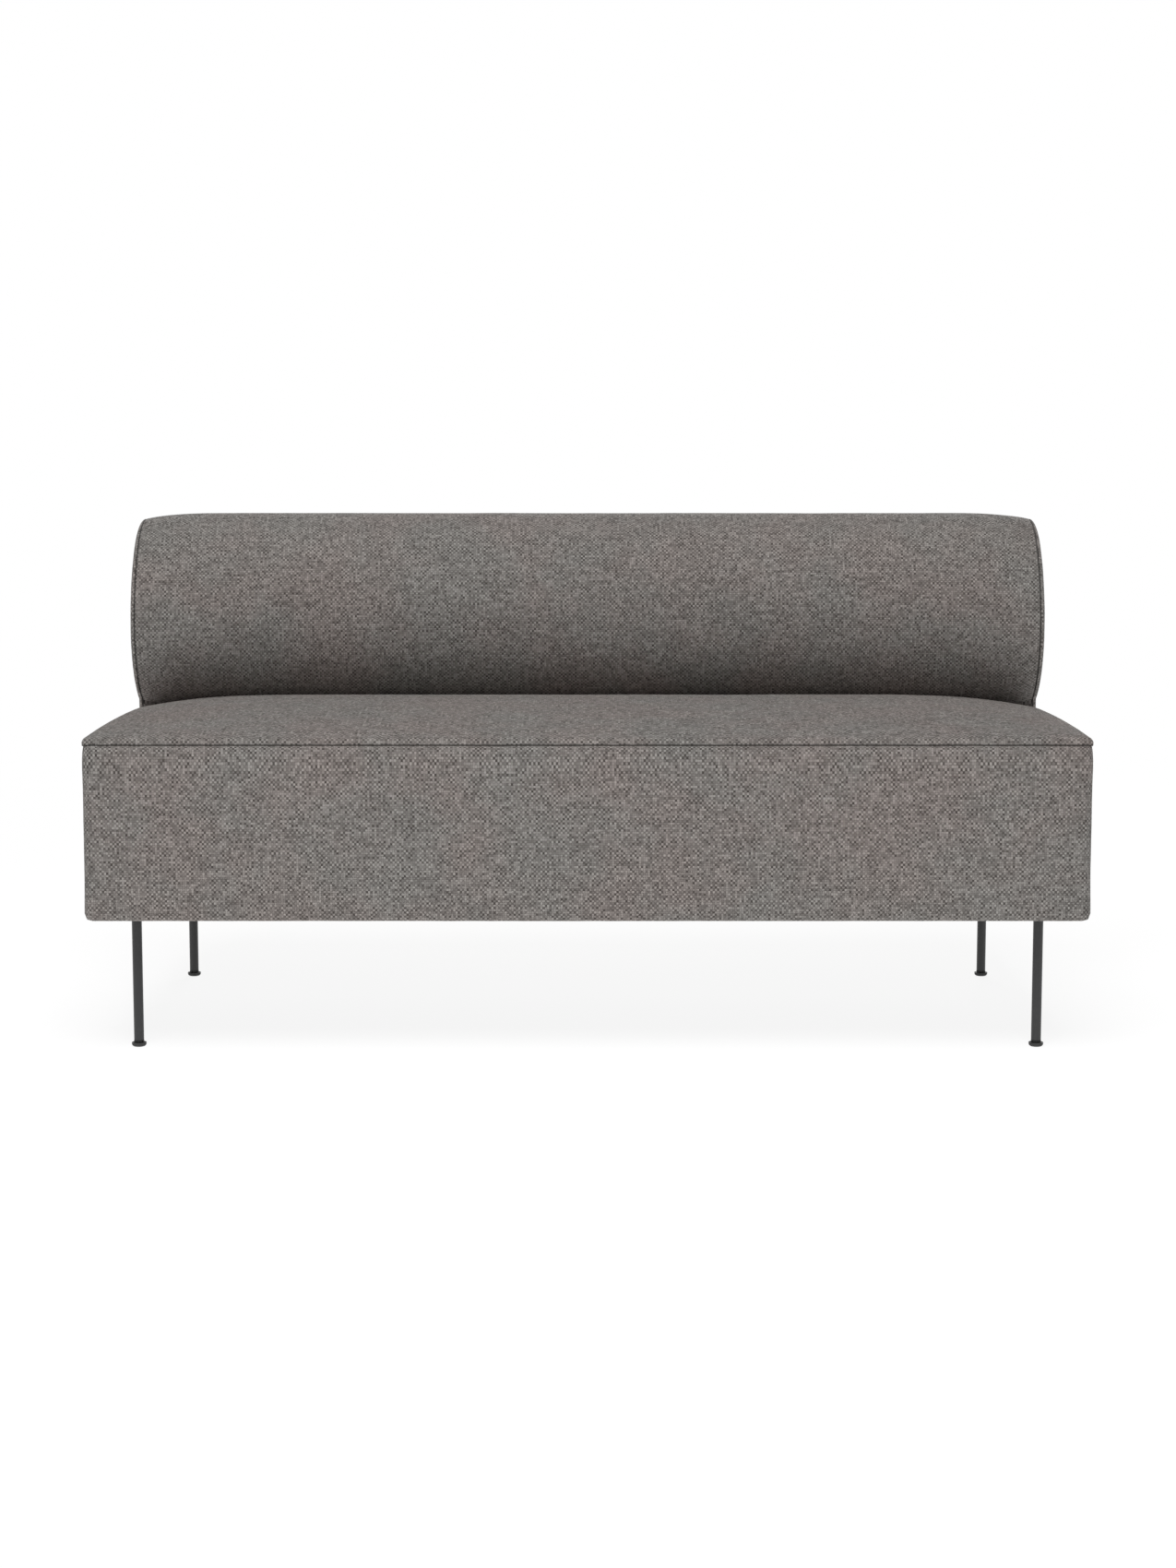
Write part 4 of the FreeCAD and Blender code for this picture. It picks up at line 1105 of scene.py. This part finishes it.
def makeFoamBlock(name, node):
    low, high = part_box(node)
    bm = bmesh.new()
    bmesh.ops.create_cube(bm, size=1)
    bmesh.ops.scale(bm, vec=(high - low) - Vector((1, 1, 1)) * foamValues["blockGap"], verts=bm.verts)
    bmesh.ops.translate(bm, vec=(low + high) / 2, verts=bm.verts)
    bmesh.ops.bevel(bm, geom=list(bm.edges), offset=foamValues["blockEdge"], segments=3, profile=0.5,
                    affect="EDGES", material=-1)
    return finishFoam(name, bm, [node])


def rollForm(a, b):
    # The wrap with the two domed ends beyond it, as one closed form
    v, e = backValues, endValues
    reach = (e["rimLength"] + e["flatLength"]) * mm
    width = 2 * v["seamX"] * mm
    if reach <= a <= reach + width:
        return backForm(a - reach, b)
    run, part = backMiddle.split(b / mm)
    distance = (backEnd.ends[run] - backEnd.lengths[run] * (1 - part)) * mm
    if a < reach:
        return endForm(-1)(distance, reach - a)
    return endForm(1)(backEnd.length * mm - distance, a - reach - width)


band = bandForm(sideLength, False)
rightStart = bandLength(sideLength) - sideLength
profileSpan = (bandValues["hem"], bandProfile.length)
for side, form, span, (lowX, lowY), (highX, highY) in (
        ("front", band, (sideLength - 1, rightStart + 1), (-1, -1), (1, -1)),
        ("left", band, (1, sideLength - 1.2), (-1, -1), (-1, 1)),
        ("right", band, (rightStart + 1.2, rightStart + sideLength - 1), (1, -1), (1, 1)),
        ("rear", bandForm(0, True), (0, bandLength(0)), (-1, 1), (1, 1))):
    reachX, reachY = coreValues["reachX"], coreValues["reachY"]
    makeFoam(f"seat_{side}_pad", form, span, profileSpan,
             (lowX * reachX, lowY * reachY, coreValues["low"]),
             (highX * reachX, highY * reachY, coreValues["high"]), [f"seat_foam_{side}"])
makeFoam("seat_crown_pad", seatForm, (0, endLip.length), (0, seatMiddle.length),
         (-744, -344, coreValues["top"]), (744, 160, coreValues["top"]), ["seat_foam_crown"])
makeFoamBlock("seat_core_pad", "seat_foam_core")
rollReach = endValues["rimLength"] + endValues["flatLength"]
makeFoam("back_roll_pad", rollForm, (0, 2 * (rollReach + backValues["seamX"])), (0, backMiddle.length),
         coreValues["backLow"], coreValues["backHigh"], ["back_foam_roll"], roundSides="low high",
         creases=(backMiddle.ends[0] * mm,))
print("foam pads made")


# Dust cloth under the base, pulled over the frame and stapled, with a hole for each leg

dustValues = {
    "reachX": 730, "reachY": 330, "height": 201.6, "sag": 3.0, "thickness": 0.8,
    "waveX": 190, "waveY": 150, "wave": 0.6, "legX": 682, "legY": 282, "hole": 15.6, "patch": 36,
}
stapleValues = {
    "spacing": 62, "inset": 8, "fromCorner": 30, "length": 11, "wire": 0.9, "drop": 0.5, "skew": 5,
    "round": 0.25,
}


def dustHeight(x, y):
    v = dustValues
    across, along = 1 - (x / v["reachX"]) ** 2, 1 - (y / v["reachY"]) ** 2
    wave = v["wave"] * noise.noise(Vector((x / v["waveX"], y / v["waveY"], 0.4)))
    return v["height"] - v["sag"] * max(0, across * along) * (1 + wave)


def makeDustCloth():
    v = dustValues
    half = v["patch"] / 2

    def lines(reach, leg):
        # Grid lines that put a square patch round each leg
        marks = [-reach, -leg - half, -leg + half, leg - half, leg + half, reach]
        steps = []
        for first, last in zip(marks, marks[1:]):
            count = max(1, round((last - first) / v["patch"]))
            steps += [first + (last - first) * index / count for index in range(count)]
        return steps + [reach]

    bm = bmesh.new()
    flat = flatGrid(bm, lines(v["reachX"], v["legX"]), lines(v["reachY"], v["legY"]))
    for vertex, place in flat.items():
        vertex.co = (*place, 0)
    for x in (-v["legX"], v["legX"]):
        for y in (-v["legY"], v["legY"]):
            leg = Vector((x, y, 0))
            patch = min(bm.faces, key=lambda face: (face.calc_center_median() - leg).length)
            square = list(patch.edges)
            bmesh.ops.delete(bm, geom=[patch], context="FACES_ONLY")
            ring = bmesh.ops.create_circle(bm, segments=24, radius=v["hole"] / 2)["verts"]
            bmesh.ops.translate(bm, verts=ring, vec=leg)
            circle = list({edge for vertex in ring for edge in vertex.link_edges})
            bmesh.ops.bridge_loops(bm, edges=square + circle)
    bmesh.ops.recalc_face_normals(bm, faces=bm.faces)
    if bm.faces[:][0].normal.z > 0:
        bmesh.ops.reverse_faces(bm, faces=bm.faces)
    for vertex in bm.verts:
        vertex.co.z = dustHeight(vertex.co.x, vertex.co.y)
        vertex.co *= mm
    mesh = meshFrom("dust_cloth", bm, smooth=True)
    piece = sofaPiece("dust_cloth", mesh, dustCloth, v["thickness"] * mm)
    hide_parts("dust_cover")


def makeStaples():
    v, cloth = stapleValues, dustValues
    spots = []
    for reach, other, turned in ((cloth["reachX"], cloth["reachY"], False),
                                 (cloth["reachY"], cloth["reachX"], True)):
        reach -= v["fromCorner"]
        count = round(2 * reach / v["spacing"])
        for index in range(count + 1):
            along = -reach + 2 * reach * index / count
            for side in (-1, 1):
                edge = side * (other - v["inset"])
                spots.append((edge, along, True) if turned else (along, edge, False))
    bm = bmesh.new()
    for index, (x, y, turned) in enumerate(spots):
        made = bmesh.ops.create_cube(bm, size=1)["verts"]
        size = (v["wire"], v["length"], v["wire"]) if turned else (v["length"], v["wire"], v["wire"])
        bmesh.ops.scale(bm, verts=made, vec=size)
        skew = math.radians(v["skew"] * noise.noise(Vector((index * 3.7, 0, 0))))
        bmesh.ops.rotate(bm, verts=made, cent=(0, 0, 0), matrix=Matrix.Rotation(skew, 3, "Z"))
        height = dustHeight(x, y) - v["drop"]
        bmesh.ops.translate(bm, verts=made, vec=(x, y, height))
    bmesh.ops.bevel(bm, geom=list(bm.edges), offset=v["round"], segments=1, profile=0.5,
                    affect="EDGES", material=-1)
    bmesh.ops.scale(bm, verts=bm.verts, vec=(mm, mm, mm))
    sofaPiece("dust_cloth_staples", meshFrom("dust_cloth_staples", bm), zincSteel)


makeDustCloth()
makeStaples()
print("dust cloth made")


# The source's own rigid pieces keep their shape and get their finish

finishes = {
    "seat_front_rail": plywood["Y"], "seat_rear_rail": plywood["Y"], "back_support_rail": plywood["Y"],
    "seat_left_rail": plywood["X"], "seat_right_rail": plywood["X"], "seat_cross_rails": plywood["X"],
    "deck_spacers": plywood["X"], "back_ribs": plywood["X"], "webbing_ledger": plywood["Y"],
    "back_deck_board": plywood["Z"], "corner_blocks": plywood["Z"], "back_base_board": plywood["Z"],
    "back_top_rail": plywood["Z"], "back_front_board": plywood["Y"], "back_rear_board": plywood["Y"],
    "webbing_long_straps": strapping, "webbing_short_straps": strapping,
    "rail_screws": zincSteel, "back_bolts": zincSteel, "back_nuts": zincSteel,
    "leg_plates": zincSteel, "leg_plate_screws": zincSteel, "leg_inserts": nylon,
}
for corner in ("front_left", "front_right", "rear_left", "rear_right"):
    finishes[f"leg_{corner}"] = legCoating
    finishes[f"glide_stud_{corner}"] = blackZinc
    finishes[f"glide_pad_{corner}"] = hardRubber
for node, finish in finishes.items():
    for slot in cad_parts[node].material_slots:
        slot.material = finish
print("finishes given:", len(finishes))
